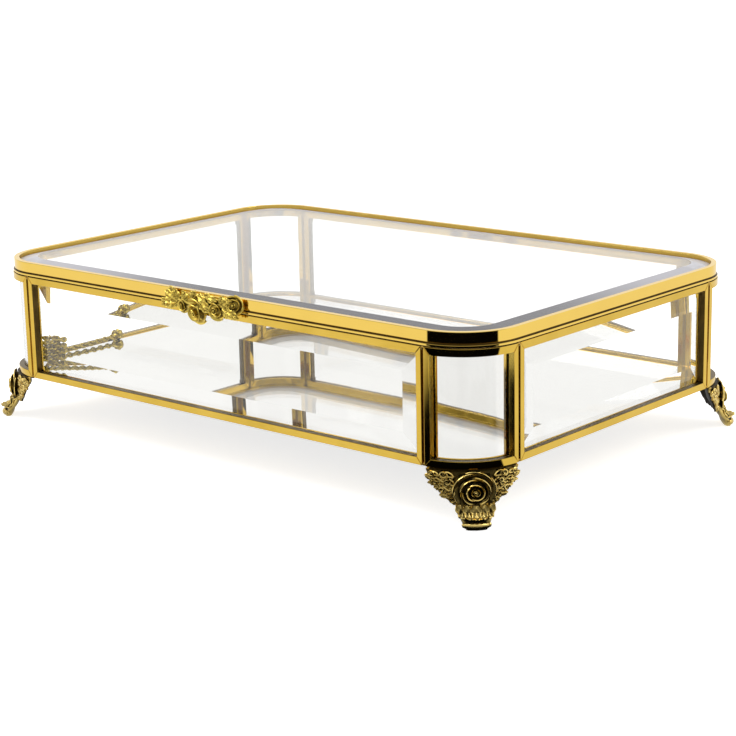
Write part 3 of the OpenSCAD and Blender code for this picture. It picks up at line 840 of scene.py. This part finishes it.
def tube(shape, points, radii, sides=8):
    """A closed round tube along some points, of one radius or of one for each point."""
    if not isinstance(radii, list):
        radii = [radii] * len(points)
    rows = []
    up = None
    for n, point in enumerate(points):
        ahead = (points[min(n + 1, len(points) - 1)] - points[max(n - 1, 0)]).normalized()
        up = up or ahead.orthogonal()
        up = (up - ahead * up.dot(ahead)).normalized()
        over = ahead.cross(up)
        rows.append([point + radii[n] * (c * up + s * over) for c, s in circle(sides)])
    loft(shape, rows)


# Rings of petals from the heart outwards, as shares of the rose's radius: how many, how far
# out, how tall, how far they flare, and the part of a full turn that one petal spans
PETAL_RINGS = ((2, 0.16, 0.60, 0.02, 0.60), (3, 0.33, 0.56, 0.07, 0.42), (3, 0.54, 0.46, 0.14, 0.41),
               (5, 0.74, 0.26, 0.24, 0.29))
PETAL_WALL = 0.04
PETAL_LIP = 0.055  # how far the edge of a petal rolls over
LIP_START = 0.8  # the share of the petal at which its edge starts to roll
RING_TURN = 0.19  # how far a ring is turned from the one inside it
PETAL_GRID = (8, 12)
HEART_STEPS = 26
HEART_WIRE = 0.035
HEART_TOP = 0.60
# The cup that holds the petals: radius and height
CUP = ((0.55, -0.02), (0.80, 0.0), (0.86, 0.07), (0.74, 0.15), (0.40, 0.22), (0.12, 0.36))


def rose(shape, radius, place, squash=1.0, seed=0.0, deep=1.0, rings=PETAL_RINGS):
    """A full-blown rose about +Z: rings of cupped petals with rolled edges round a spiral heart."""
    place = place @ Matrix.Diagonal((1, squash, deep, 1)) @ Matrix.Scale(radius, 4)
    for ring_index, (count, share, height, flare, span) in enumerate(rings):
        for k in range(count):
            middle = 2 * math.pi * (k / count + RING_TURN * ring_index + seed)
            uneven = 0.09 * math.sin(5.1 * k + 2.3 * ring_index + 9 * seed)

            def petal(u, v):
                across = 2 * v - 1
                angle = middle + math.pi * span * across
                rise = min(u / LIP_START, 1.0)
                roll = max(0.0, (u - LIP_START) / (1 - LIP_START)) * math.pi / 2
                top = height * (1 - 0.34 * abs(across) ** 2.5 + uneven)
                reach = share * (0.62 + 0.38 * rise ** 0.6) + flare * rise ** 2
                reach += 0.30 * share * rise * (uneven + 0.34 * across - 0.12 * across * across)
                reach += PETAL_LIP * math.sin(roll)
                z = top * rise - PETAL_LIP * (1 - math.cos(roll))
                return place @ Vector((reach * math.cos(angle), reach * math.sin(angle), z))

            sheet(shape, petal, *PETAL_GRID, PETAL_WALL * radius)
    heart = []
    for n in range(HEART_STEPS + 1):
        reach = 0.02 + 0.10 * n / HEART_STEPS
        angle = 9.5 * n / HEART_STEPS
        z = HEART_TOP - 0.08 * n / HEART_STEPS
        heart.append(place @ Vector((reach * math.cos(angle), reach * math.sin(angle), z)))
    tube(shape, heart, HEART_WIRE * radius, 6)
    loft(shape, [[place @ Vector((r * c, r * s, z)) for c, s in circle(28)] for r, z in CUP])


RAY_COUNT = 18
RAY_START = 0.03 * MM  # off the surface


def mark_patina_and_shade(mesh, reach, ground, start, gain, shine):
    """Stores how dark each point is as a point attribute, part patina and part painted shade: a ground
    level, more where the mesh hides the point, less on ridges as rubbed wear and painted highlight; 0 on
    a ridge, 1 in a hollow.
    """
    ridges = [0.0] * len(mesh.vertices)
    counts = [0] * len(mesh.vertices)
    for edge in mesh.edges:
        first, second = edge.vertices
        for a, b in ((first, second), (second, first)):
            apart = mesh.vertices[a].co - mesh.vertices[b].co
            ridges[a] += apart.normalized().dot(mesh.vertices[a].normal)
            counts[a] += 1
    tree = BVHTree.FromPolygons([v.co for v in mesh.vertices], [p.vertices for p in mesh.polygons])
    rays = []
    for n in range(RAY_COUNT):
        rise = (n + 0.5) / RAY_COUNT
        spin = n * math.pi * (3 - math.sqrt(5))
        flat = math.sqrt(1 - rise * rise)
        rays.append(Vector((flat * math.cos(spin), flat * math.sin(spin), rise)))
    layer = mesh.attributes.new("patina_and_shade", "FLOAT", "POINT")
    for vertex in mesh.vertices:
        facing = vertex.normal.to_track_quat("Z", "Y")
        eye = vertex.co + vertex.normal * RAY_START
        hits = sum(tree.ray_cast(eye, facing @ ray, reach)[0] is not None for ray in rays)
        ridge = max(ridges[vertex.index] / max(counts[vertex.index], 1), 0.0)
        value = ground + max(hits / len(rays) - start, 0.0) * gain - shine * ridge
        layer.data[vertex.index].value = min(max(value, 0.0), 1.0)


def on_bend(along, height, out):
    """A point of the foot, by its distance along the bend and out from it."""
    angle = along / CORNER_RADIUS
    radius = CORNER_RADIUS + out
    return Vector((radius * math.cos(angle), radius * math.sin(angle), height))


WING_REACH = 20.2 * MM  # along the bend, from the middle of the corner
WING_BEHIND = 0.3 * MM
WING_HOLLOW = 0.35 * MM
WING_THICKNESS = 1.2 * MM
WING_GRID = (40, 14)
WING_WIRE = 0.42 * MM
# How far the wires lie off the bend: outlines of leaves, their side ribs and midribs, scrolls
OUTLINE_OUT, RIB_OUT, MIDRIB_OUT, SCROLL_OUT = 1.1, 1.25, 1.45, 1.6
RIB_STARTS = (0.36, 0.62)  # shares of a leaf's length
SCALLOP_DEPTH = 0.35
SCALLOP_WIDTH = 3.2 * MM
SCROLL_STEPS = 18
SCROLL_STEP_TURN = 26
SCROLL_SHRINK = 0.038
STEM_STEPS = 24
STEM_START = 8 * MM
STEM_LENGTH = 11.8 * MM
STEM_ABOVE = 0.5 * MM  # the lower edge of the wing
STEM_OUT = 0.8 * MM
STEM_KNOBS = 0.2 * MM
STEM_RADIUS = 0.5 * MM
STEM_TAPER = 0.006 * MM  # at each step
# Lower edge of a wing: distance from the middle of the corner, height of its edge
WING_EDGE = ((0, 8), (8, 8.5), (12.6, 12.2), (14.6, 14.8), (17, 17.4), (19.4, 19.4), (20.2, 20.6))
# Leaves of a wing, drawn in wire: foot (distance, height), heading, length, half width
WING_LEAVES = (
    (8.2, 20.2, 3, 6.2, 1.7), (14.4, 20.6, -8, 5.4, 1.4), (7.6, 16.4, 20, 6.4, 1.7),
    (13.4, 18.3, -14, 5.6, 1.4), (7.4, 12.8, 32, 5.8, 1.6), (12.0, 15.8, -6, 4.2, 1.3),
    (7.2, 9.8, 46, 4.8, 1.4), (17.6, 18.9, 24, 2.8, 0.9), (10.6, 12.6, -4, 3.2, 1.1),
)
# Scrolls among them: middle (distance, height), radius, where each starts
WING_SCROLLS = (
    (12.2, 21.2, 1.5, 200), (17.2, 20.8, 1.3, 20), (10.6, 18.2, 1.5, 120), (15.6, 17.4, 1.2, 250),
    (9.2, 14.2, 1.4, 60), (12.9, 14.6, 1.1, 300), (8.8, 10.6, 1.2, 160),
)


def wing_edge(along):
    """Height of the scalloped lower edge of a wing at a distance along the bend."""
    for (a, low), (b, high) in zip(WING_EDGE, WING_EDGE[1:]):
        if along <= b * MM:
            share = (along / MM - a) / (b - a)
            scallop = SCALLOP_DEPTH * math.sin(math.pi * along / SCALLOP_WIDTH) ** 2
            return (low + (high - low) * share - scallop) * MM
    return WING_EDGE[-1][1] * MM


def wing_wire(shape, hand, points, out):
    """A wire off a wing through points (distance, height) in millimetres, kept under the sill."""
    top = FOOT_HEIGHT - WING_WIRE
    tube(shape, [on_bend(hand * along * MM, min(up * MM, top), out * MM) for along, up in points],
         WING_WIRE, 6)


def wing(shape, hand):
    """One wing: a backing that follows the bend, dark with patina and painted shade, with wire leaves,
    scrolls and a stem.
    """
    def backing(u, v):
        low = wing_edge(WING_REACH * u)
        if hand < 0:
            v = 1 - v
        hollow = WING_HOLLOW * math.sin(math.pi * v)
        return on_bend(hand * WING_REACH * u, low + (FOOT_HEIGHT - low) * (1 - v), -WING_BEHIND - hollow)
    sheet(shape, backing, *WING_GRID, WING_THICKNESS)
    for along, up, heading, length, half in WING_LEAVES:
        foot = Vector((along, up))
        turned = Matrix.Rotation(math.radians(heading), 2)

        def leaf_wire(points, out):
            wing_wire(shape, hand, [foot + turned @ Vector(point) for point in points], out)
        for side in (-1, 1):
            leaf_wire([(length * n / 10, side * half * math.sin(math.pi * (n / 10) ** 0.8))
                       for n in range(11)], OUTLINE_OUT)
            for share in RIB_STARTS:
                leaf_wire([(length * (share + 0.05 * n), side * half * 0.3 * n) for n in range(4)],
                          RIB_OUT)
        leaf_wire([(length * n / 5, 0) for n in range(6)], MIDRIB_OUT)
    for along, up, radius, start in WING_SCROLLS:
        scroll = []
        for n in range(SCROLL_STEPS + 1):
            angle = math.radians(start + SCROLL_STEP_TURN * n)
            reach = radius * (1 - SCROLL_SHRINK * n)
            scroll.append((along + reach * math.cos(angle), up + reach * math.sin(angle)))
        wing_wire(shape, hand, scroll, SCROLL_OUT)
    stem = []
    for n in range(STEM_STEPS + 1):
        along = STEM_START + STEM_LENGTH * n / STEM_STEPS
        out = STEM_OUT + STEM_KNOBS * math.sin(2 * n)
        stem.append(on_bend(hand * along, wing_edge(along) + STEM_ABOVE, out))
    tube(shape, stem, [STEM_RADIUS - STEM_TAPER * n for n in range(STEM_STEPS + 1)])


# Leg: height, inner face, outer face (distances beyond the middle of the bend), half width
LEG = ((23, -5, 0.4, 8.2), (18, -4, 1.4, 7.6), (12, -2.2, 2.6, 7.2), (8.4, 0.2, 4.2, 7.7),
       (5.6, 1.8, 5.4, 7.0), (3.6, 3.4, 7.0, 6.2), (1.6, 4.0, 8.4, 5.2), (0, 5.0, 8.2, 4.3))
LEG_SIDES = 36
LEG_SQUARENESS = 0.75  # 1 is an ellipse, less is squarer
# Plate under the rail and the ledge, a stretch of the bend
PLATE = 1.2 * MM
PLATE_RADII = (CORNER_RADIUS - 10 * MM, CORNER_RADIUS - 1.8 * MM)
PLATE_HALF_TURN = 39
PLATE_STEPS = 16
# Leaves down the knuckle: sideways start and end, length scale, all on one route (out, up)
KNUCKLE_LEAVES = ((-6.6, -4.6, 0.86), (-3.4, -2.4, 1.0), (0, 0, 1.06), (3.4, 2.4, 1.0), (6.6, 4.6, 0.86))
KNUCKLE_ROUTE = ((2.2, 10.6), (5.0, 9.2), (5.6, 6.6), (7.4, 5.0), (9.6, 5.3))
KNUCKLE_BOW = 0.035  # how fast the row of leaves falls back to the sides
KNUCKLE_HALF_WIDTH = 2.15
KNUCKLE_THICKNESS = 0.5 * MM
KNUCKLE_GRID = (26, 10)
# The scrolled toe: a roll across, thinner at its ends, with its curl showing at both sides
TOE_REACH = 10 * MM
TOE_MIDDLE = 1.75  # of the roll, back from the tip and up
TOE_RADIUS = 1.7
TOE_STEPS = 16
TOE_STEP = 0.66
TOE_BOW = 0.02475  # how fast its ends fall back, and how fast they get thinner
TOE_TAPER = 0.012
CURL_STEPS = 21
CURL_MIDDLE = (3.2, 1.9)  # back from the tip and up
CURL_ASIDE = 5.3
CURL_SPREAD = 0.02  # sideways at each step
CURL_RADIUS = 0.9
CURL_SHRINK = 1 / 30
CURL_WIRE = 0.42 * MM
CAST_REACH = 2.2 * MM  # how far a hollow looks for the metal that shades it
RAIL_SHADE = 0.3 * MM  # what lies this near the sill or the bend is dark all over, painted shadow under the rail and in the bend
BEND_SHADE = 0.5 * MM


def leg_ring(height, inner, outer, half):
    """One section of the leg, a rounded oblong across the corner."""
    def square(value):
        return math.copysign(abs(value) ** LEG_SQUARENESS, value)
    return [Vector((CORNER_RADIUS + ((inner + outer) / 2 + (outer - inner) / 2 * square(c)) * MM,
                    half * square(s) * MM, height * MM)) for c, s in circle(LEG_SIDES)]


def knuckle_leaf(start, end, scale):
    """The face of a leaf that comes down over the knuckle and curls up at the toe."""
    def face(u, v):
        across = 2 * v - 1
        t = min(u * 4, 3.999)
        n = int(t)
        blend = (t - n) ** 2 * (3 - 2 * (t - n))
        out, up = Vector(KNUCKLE_ROUTE[n]).lerp(Vector(KNUCKLE_ROUTE[n + 1]), blend)
        first_out = KNUCKLE_ROUTE[0][0]
        middle = start + (end - start) * u
        out = first_out + (out - first_out) * scale - KNUCKLE_BOW * middle ** 2
        half = KNUCKLE_HALF_WIDTH * math.sin(math.pi * (0.12 + 0.86 * u)) ** 0.7
        half *= 1 + 0.12 * math.sin(19 * u)
        ridge = 0.35 * math.exp(-(across / 0.16) ** 2) + 0.28 * across ** 4
        vein = 0.22 * max(0.0, math.cos(2 * math.pi * (3.2 * u - 0.8 * abs(across)))) ** 2
        return Vector((CORNER_RADIUS + (out + ridge + vein) * MM, (middle + half * across) * MM,
                       (up + (ridge + vein) * 0.6 * u) * MM))
    return face


def foot_shape():
    """A foot with +X out of its corner and its sole at Z = 0."""
    shape = bmesh.new()
    loft(shape, [leg_ring(*section) for section in LEG])
    sweep = [math.radians(PLATE_HALF_TURN * (2 * n / PLATE_STEPS - 1)) for n in range(PLATE_STEPS + 1)]
    plan = [(radius * math.cos(angle), radius * math.sin(angle))
            for radius, angles in zip(PLATE_RADII, (sweep, sweep[::-1])) for angle in angles]
    loft(shape, [[(x, y, z) for x, y in plan] for z in (FOOT_HEIGHT - PLATE, FOOT_HEIGHT)])
    for hand in (-1, 1):
        wing(shape, hand)
    outwards = Matrix(((0, 0, 1, 0), (1, 0, 0, 0), (0, 1, 0, 0), (0, 0, 0, 1)))
    place = Matrix.Translation((CORNER_RADIUS + FOOT_ROSE_OUT, 0, FOOT_ROSE_HEIGHT)) @ outwards
    rose(shape, ROSE_RADIUS, place, FOOT_ROSE_SQUASH)
    for start, end, scale in KNUCKLE_LEAVES:
        sheet(shape, knuckle_leaf(start, end, scale), *KNUCKLE_GRID, KNUCKLE_THICKNESS)
    tip = CORNER_RADIUS + TOE_REACH
    steps = [n - TOE_STEPS / 2 for n in range(TOE_STEPS + 1)]
    roll = [Vector((tip - (TOE_MIDDLE + TOE_BOW * n * n) * MM, TOE_STEP * n * MM, TOE_MIDDLE * MM))
            for n in steps]
    tube(shape, roll, [(TOE_RADIUS - TOE_TAPER * n * n) * MM for n in steps], 16)
    back, up = CURL_MIDDLE
    for hand in (-1, 1):
        curl = []
        for n in range(CURL_STEPS + 1):
            reach = CURL_RADIUS - CURL_SHRINK * n
            curl.append(Vector((tip - (back - reach * math.cos(n / 2)) * MM,
                                hand * (CURL_ASIDE + CURL_SPREAD * n) * MM,
                                (up + reach * math.sin(n / 2)) * MM)))
        tube(shape, curl, CURL_WIRE, 6)
    for vertex in shape.verts:
        vertex.co.z = min(max(vertex.co.z, 0.0), FOOT_HEIGHT)
    return shape


casting = meshed(foot_shape(), "casting", [CAST_BRASS], CAST_CREASE)
# A dark ground of painted shade over all the casting, darker where the casting hides a point, lighter on
# ridges
mark_patina_and_shade(casting, CAST_REACH, ground=0.62, start=0.30, gain=2.6, shine=3.4)
# Painted shadow under the rail's sill and next to the bend
for vertex, mark in zip(casting.vertices, casting.attributes["patina_and_shade"].data):
    under_sill = vertex.co.z > FOOT_HEIGHT - RAIL_SHADE
    if under_sill or vertex.co.xy.length < CORNER_RADIUS + BEND_SHADE:
        mark.value = 1.0
for i, corner in enumerate(CORNERS):
    piece = linked(corner + "_casting", casting.copy())
    piece.data.transform(corner_matrix(i, 45, -FOOT_HEIGHT))
    for vertex in piece.data.vertices:
        vertex.co.x = min(max(vertex.co.x, cad_box[0][0]), cad_box[1][0])
    fit(piece, "case", [corner + "_foot"])


# ---- Rose lift ----
# The finger lift on the middle of the lid's front: a cast spray of roses, buds and leaves on
# a curved stem, soldered to the rim by a plate behind it. It hangs in front of the top rail.
lift_low, lift_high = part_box("rose_lift")
LIFT_CLEARANCE = 0.4 * MM
# Blooms: place along the box, height over the top rail, radius, depth of the cup, squash,
# turn, how far each looks to the side and up
BLOOMS = (
    (-3.2, -1.0, 6.5, 4.6, 0.92, 0.1, -8, -14), (8.7, 1.2, 5.0, 4.0, 0.98, 0.3, 6, -8),
    (-12.0, 0.6, 3.7, 3.4, 0.95, 0.55, -6, -6), (-19.4, 3.9, 4.3, 2.8, 0.95, 0.8, -14, 4),
    (18.6, 3.9, 4.7, 3.2, 0.92, 0.45, 24, 6),
)
BLOOM_RINGS = ((2, 0.20, 0.60, 0.05, 0.62), (3, 0.46, 0.50, 0.17, 0.40), (4, 0.74, 0.30, 0.25, 0.33))
BLOOM_OUT = 0.9 * MM
BLOOM_HEIGHT = 0.64  # of the tallest petals, as a share of the radius
# Leaves: foot (along, over the rail), heading, length, half width, lift of the tip
SPRAY_LEAVES = (
    (-2.0, 6.4, -40, 11.0, 3.2, 0.06), (1.6, 6.4, -10, 9.0, 2.3, 0.04), (-8.4, 2.6, 122, 5.6, 2.4, 0.06),
    (-6.0, 3.4, 58, 5.4, 2.4, 0.06), (-14.4, 2.0, 152, 9.0, 2.8, 0.04), (-14.8, 1.4, 186, 9.0, 2.7, 0.05),
    (-14.0, 3.0, 120, 5.4, 2.4, 0.06), (12.6, 3.4, 24, 7.0, 2.6, 0.03), (13.2, 1.8, -16, 8.6, 2.7, 0.04),
    (12.6, 3.6, 76, 4.4, 2.2, 0.05), (-17.2, 3.4, 88, 4.4, 2.2, 0.08), (-21.6, 2.0, 222, 4.0, 2.2, 0.08),
    (17.4, 1.0, -24, 5.6, 2.2, 0.04),
)
LEAF_OUT = 2.4 * MM
LEAF_THICKNESS = 0.45 * MM
LEAF_CURL = 0.10
LEAF_VEINS = 3
LEAF_GRID = (30, 16)
SPRAY_STEM_HALF = 17 * MM
SPRAY_STEM_STEPS = 20
SPRAY_STEM_UP = 2.3  # over the foot of the rim
SPRAY_STEM_WAVE = 0.5
SPRAY_STEM_OUT = 1.7 * MM
SPRAY_STEM_RADIUS = 1.5 * MM
LIFT_PLATE_HALF = 16 * MM
LIFT_PLATE_ABOVE = 0.4 * MM  # over the rim's groove
LIFT_PLATE_BELOW = 0.6 * MM  # under the rim's top
LIFT_PLATE_OUT = 0.8 * MM
LIFT_CHAMFER = 1 * MM
LIFT_REACH = 1.8 * MM  # how far a hollow looks for the metal that shades it
# Its near black in the hollows is part patina, part painted shade
LIFT_BRASS = brass("lift_brass", (0.92, 0.70, 0.15), (0.80, 0.58, 0.10), 0.24, 0.12, 0.8,
                   (0.09, 0.06, 0.012))


def before_rail(along, up, out):
    """A place on the lift: along the box, over the top rail and out from its face."""
    return Matrix.Translation((along * MM, -HALF_DEPTH - out, PANEL_HEIGHT + up * MM))


def leaf(shape, place, length, width, lift):
    """A lobed leaf along +X with its face to +Z: midrib, side veins and turned-up edges."""
    def blade(u, v):
        across = 2 * v - 1
        half = width * (math.sin(math.pi * min(u ** 0.8 * 0.97 + 0.03, 0.975)) ** 0.7)
        half *= 1 + 0.14 * math.sin(2 * math.pi * LEAF_VEINS * u)
        half = max(half, 0.1 * width)
        ridge = 0.26 * math.exp(-(across / 0.14) ** 2)
        vein = 0.22 * max(0.0, math.cos(2 * math.pi * (LEAF_VEINS * u - 0.8 * abs(across)))) ** 4
        edge = 0.24 * across ** 4
        bow = LEAF_CURL * length * math.sin(math.pi * u) + lift * length * u * u
        return place @ Vector((length * u, -half * across,
                               width * (ridge + vein * (1 - across * across) + edge) + bow))
    sheet(shape, blade, *LEAF_GRID, LEAF_THICKNESS)


shape = bmesh.new()
for along, up, radius, depth, squash, seed, aside, upwards in BLOOMS:
    place = (before_rail(along, up, LIFT_CLEARANCE + BLOOM_OUT)
             @ Matrix.Rotation(math.radians(90 - upwards), 4, "X")
             @ Matrix.Rotation(math.radians(aside), 4, "Y"))
    rose(shape, radius * MM, place, squash, seed, depth / (BLOOM_HEIGHT * radius), BLOOM_RINGS)
for along, up, heading, length, half, lift in SPRAY_LEAVES:
    place = (before_rail(along, up, LEAF_OUT) @ Matrix.Rotation(math.radians(90), 4, "X")
             @ Matrix.Rotation(math.radians(heading), 4, "Z"))
    leaf(shape, place, length * MM, half * MM, lift)
tube(shape, [Vector((SPRAY_STEM_HALF * (2 * n / SPRAY_STEM_STEPS - 1),
                     -HALF_DEPTH - LIFT_CLEARANCE - SPRAY_STEM_OUT,
                     LID_BOTTOM + (SPRAY_STEM_UP + SPRAY_STEM_WAVE * math.sin(0.8 * n)) * MM))
             for n in range(SPRAY_STEM_STEPS + 1)], SPRAY_STEM_RADIUS, 12)
plate_low = LID_BOTTOM + groove_top + LIFT_PLATE_ABOVE
plate_high = LID_BOTTOM + RIM_HEIGHT - LIFT_PLATE_BELOW
plate = [(x * (LIFT_PLATE_HALF - cut), z) for x, cut, z in (
    (-1, 0, plate_low), (1, 0, plate_low), (1, 0, plate_high - LIFT_CHAMFER),
    (1, LIFT_CHAMFER, plate_high), (-1, LIFT_CHAMFER, plate_high), (-1, 0, plate_high - LIFT_CHAMFER))]
loft(shape, [[(x, y - HALF_DEPTH, z) for x, z in plate]
             for y in (RIM_INSET, -LIFT_CLEARANCE - LIFT_PLATE_OUT)])
spray = finished(shape, "rose_spray", [LIFT_BRASS], "lid", ["rose_lift"], CAST_CREASE, BODY)
# Darker where the spray hides a point: patina and painted shade
mark_patina_and_shade(spray.data, LIFT_REACH, ground=0.0, start=0.26, gain=1.7, shine=0.6)
for vertex in spray.data.vertices:
    vertex.co.y = max(vertex.co.y, lift_low.y)
    vertex.co.z = min(vertex.co.z, lift_high.z)


# ---- Chain ----
# A cable chain of oval links that stops the lid. It hangs from a hook on the lid's ledge,
# lies coiled in the left front corner and runs along the mirror to a knob on the left frame.
RUN_LENGTH = 15.6 * MM
RUN_LINKS = 9
LINK_LENGTH = 3.5 * MM
LINK_WIDTH = 3.2 * MM
LINK_WIRE = 0.5 * MM
LINK_CORNER = 0.48  # radius of a link's corners, as a share of its inner width
LINK_TURN = math.pi / 4
FLOOR_RUNS = 3
FLOOR_HEADING = -88
FLOOR_SWAY = 4
COIL_RUNS = 13
COIL_HEADING = -63
COIL_TURN = 122
COIL_RISE = 0.92 * MM
HANG_RUNS = 2
HANG_HEADING = math.radians(160)
HANG_LEAN = math.radians(10)
ANCHOR_INSET = 9 * MM
ANCHOR_DISTANCE = 71.5 * MM
ANCHOR_RISE = 0.8 * MM
LYING_HEIGHT = MIRROR_TOP + 1.25 * MM  # of the middle of a run that lies down
CHAIN_BRASS = brass("chain_brass", (0.52, 0.39, 0.08), (0.34, 0.25, 0.04), 0.20, 0.12, 0.6)
anchor = Vector((ANCHOR_INSET - HALF_LENGTH, ANCHOR_DISTANCE - HALF_DEPTH, LYING_HEIGHT + ANCHOR_RISE))


def heading(angle, rise):
    """Direction of a run that rises by a height."""
    flat = math.sqrt(1 - (rise / RUN_LENGTH) ** 2)
    angle = math.radians(angle)
    return Vector((math.cos(angle) * flat, math.sin(angle) * flat, rise / RUN_LENGTH))


def run_direction(k):
    """Direction of a run: along the mirror, then round the coil, then up to the hook."""
    if k < FLOOR_RUNS:
        sway = FLOOR_SWAY / 2 if k % 2 == 0 else -FLOOR_SWAY
        return heading(FLOOR_HEADING + sway, -ANCHOR_RISE / FLOOR_RUNS)
    if k < FLOOR_RUNS + COIL_RUNS:
        return heading(COIL_HEADING + COIL_TURN * (k - FLOOR_RUNS), COIL_RISE)
    return Vector((math.sin(HANG_LEAN) * math.cos(HANG_HEADING),
                   math.sin(HANG_LEAN) * math.sin(HANG_HEADING), math.cos(HANG_LEAN)))


def chain_tree():
    """Oval links in a row between two points, each turned on from the one before."""
    tree = bpy.data.node_groups.new("link_row", "GeometryNodeTree")
    for name, kind in (("Mesh", "Geometry"), ("First Link", "Vector"), ("Last Link", "Vector"),
                       ("Links", "Int"), ("Link Length", "Float"), ("Link Width", "Float"),
                       ("Wire Radius", "Float"), ("Material", "Material")):
        tree.interface.new_socket(name, in_out="INPUT", socket_type="NodeSocket" + kind)
    tree.interface.new_socket("Mesh", in_out="OUTPUT", socket_type="NodeSocketGeometry")
    add, calc = makers(tree)
    given = add("NodeGroupInput").outputs
    first, last, wire = given["First Link"], given["Last Link"], given["Wire Radius"]
    row = add("GeometryNodeMeshLine", {
        "Count": given["Links"], "Start Location": first, "Offset": last}, mode="END_POINTS")
    ahead = add("ShaderNodeVectorMath", {0: last, 1: first}, operation="SUBTRACT")
    aimed = add("FunctionNodeAlignRotationToVector", {"Vector": ahead.outputs[0]}, axis="X")
    third = calc("MODULO", add("GeometryNodeInputIndex").outputs[0], 3.0)
    turn = add("FunctionNodeAxisAngleToRotation", {
        "Axis": (1, 0, 0), "Angle": calc("MULTIPLY_ADD", third, LINK_TURN, -LINK_TURN)})
    turned = add("FunctionNodeRotateRotation", {
        "Rotation": aimed.outputs[0], "Rotate By": turn.outputs[0]}, rotation_space="LOCAL")
    inner_length = calc("MULTIPLY_ADD", wire, -2.0, given["Link Length"])
    inner_width = calc("MULTIPLY_ADD", wire, -2.0, given["Link Width"])
    oval = add("GeometryNodeCurvePrimitiveQuadrilateral", {"Width": inner_length, "Height": inner_width})
    rounded = add("GeometryNodeFilletCurve", {
        "Curve": oval.outputs[0], "Count": 4, "Radius": calc("MULTIPLY", inner_width, LINK_CORNER)},
        mode="POLY")
    section = add("GeometryNodeCurvePrimitiveCircle", {"Resolution": 8, "Radius": wire}, mode="RADIUS")
    bent = add("GeometryNodeCurveToMesh", {
        "Curve": rounded.outputs[0], "Profile Curve": section.outputs[0]})
    links = add("GeometryNodeInstanceOnPoints", {
        "Points": row.outputs["Mesh"], "Instance": bent.outputs[0], "Rotation": turned.outputs[0]})
    real = add("GeometryNodeRealizeInstances", {0: links.outputs[0]})
    smooth = add("GeometryNodeSetShadeSmooth", {"Geometry": real.outputs[0]})
    finish = add("GeometryNodeSetMaterial", {
        "Geometry": smooth.outputs[0], "Material": given["Material"]})
    add("NodeGroupOutput", {"Mesh": finish.outputs[0]})
    return tree


def grown(name, tree, values, body, nodes):
    """Runs a geometry tree with its named inputs and keeps the result as a plain mesh."""
    piece = linked(name, bpy.data.meshes.new(name))
    modifier = piece.modifiers.new("grow", "NODES")
    modifier.node_group = tree
    for item in tree.interface.items_tree:
        if item.in_out == "INPUT" and item.name in values:
            modifier[item.identifier] = values[item.name]
    applied(piece)
    fit(piece, body, nodes)


LINK_ROW = chain_tree()
margin = RUN_LENGTH / RUN_LINKS / 2
point = anchor.copy()
for k in range(FLOOR_RUNS + COIL_RUNS + HANG_RUNS):
    ahead = run_direction(k)
    number = f"{k + 1:02d}"
    grown("links_" + number, LINK_ROW, {
        "First Link": BODY @ (point + margin * ahead),
        "Last Link": BODY @ (point + (RUN_LENGTH - margin) * ahead),
        "Links": RUN_LINKS, "Link Length": LINK_LENGTH, "Link Width": LINK_WIDTH,
        "Wire Radius": LINK_WIRE, "Material": CHAIN_BRASS,
    }, "chain_" + number, ["chain_run_" + number])
    point += RUN_LENGTH * ahead

# The knob that holds the first link: a small fluted rosette on a stud, with an eye under it
KNOB_RADIUS = 2.6 * MM
KNOB_BEHIND = 0.6 * MM  # its rim, behind the anchor
KNOB_CLEARANCE = 0.1 * MM
FLUTES = 8
FLUTE_DEPTH = 0.13
STUD = ((0, 2 * MM), (0.7 * MM, 2 * MM), (0.9 * MM, 1 * MM))  # distance from the frame, radius
NECK_RADIUS = 1 * MM
EYE_RADIUS = 1.1 * MM
EYE_WIRE = 0.4 * MM
EYE_OFFSET = Vector((0.2 * MM, -KNOB_RADIUS - 0.2 * MM, -1.4 * MM))
EYE_STEPS = 20
PEG_RADIUS = 0.5 * MM
PEG_ENDS = (-0.4 * MM, 0.6 * MM)
knob = Vector((anchor.x, anchor.y + KNOB_RADIUS + KNOB_BEHIND, MIRROR_TOP + KNOB_RADIUS + KNOB_CLEARANCE))
shape = bmesh.new()
tube(shape, [Vector((CHANNEL - HALF_LENGTH + out, knob.y, knob.z)) for out, radius in STUD] + [knob],
     [radius for out, radius in STUD] + [NECK_RADIUS], 20)
for vertex in ball(shape, (0, 0, 0), KNOB_RADIUS, rings=20, sides=32):
    around = math.atan2(vertex.co.y, vertex.co.x)
    flute = 1 + FLUTE_DEPTH * math.cos(FLUTES * around) * (1 - (vertex.co.z / KNOB_RADIUS) ** 2)
    vertex.co = knob + Vector((vertex.co.z, vertex.co.x * flute, vertex.co.y * flute))
eye = [knob + EYE_OFFSET + EYE_RADIUS * Vector((0, math.cos(a), math.sin(a)))
       for a in (2 * math.pi * n / EYE_STEPS for n in range(EYE_STEPS + 1))]
tube(shape, eye, EYE_WIRE, 8)
tube(shape, [anchor + Vector((0, end, 0)) for end in PEG_ENDS], PEG_RADIUS, 8)
finished(shape, "chain_knob", [CHAIN_BRASS], "case", ["chain_anchor"], CAST_CREASE, BODY)
repaint("chain_lid_tab", CHAIN_BRASS)
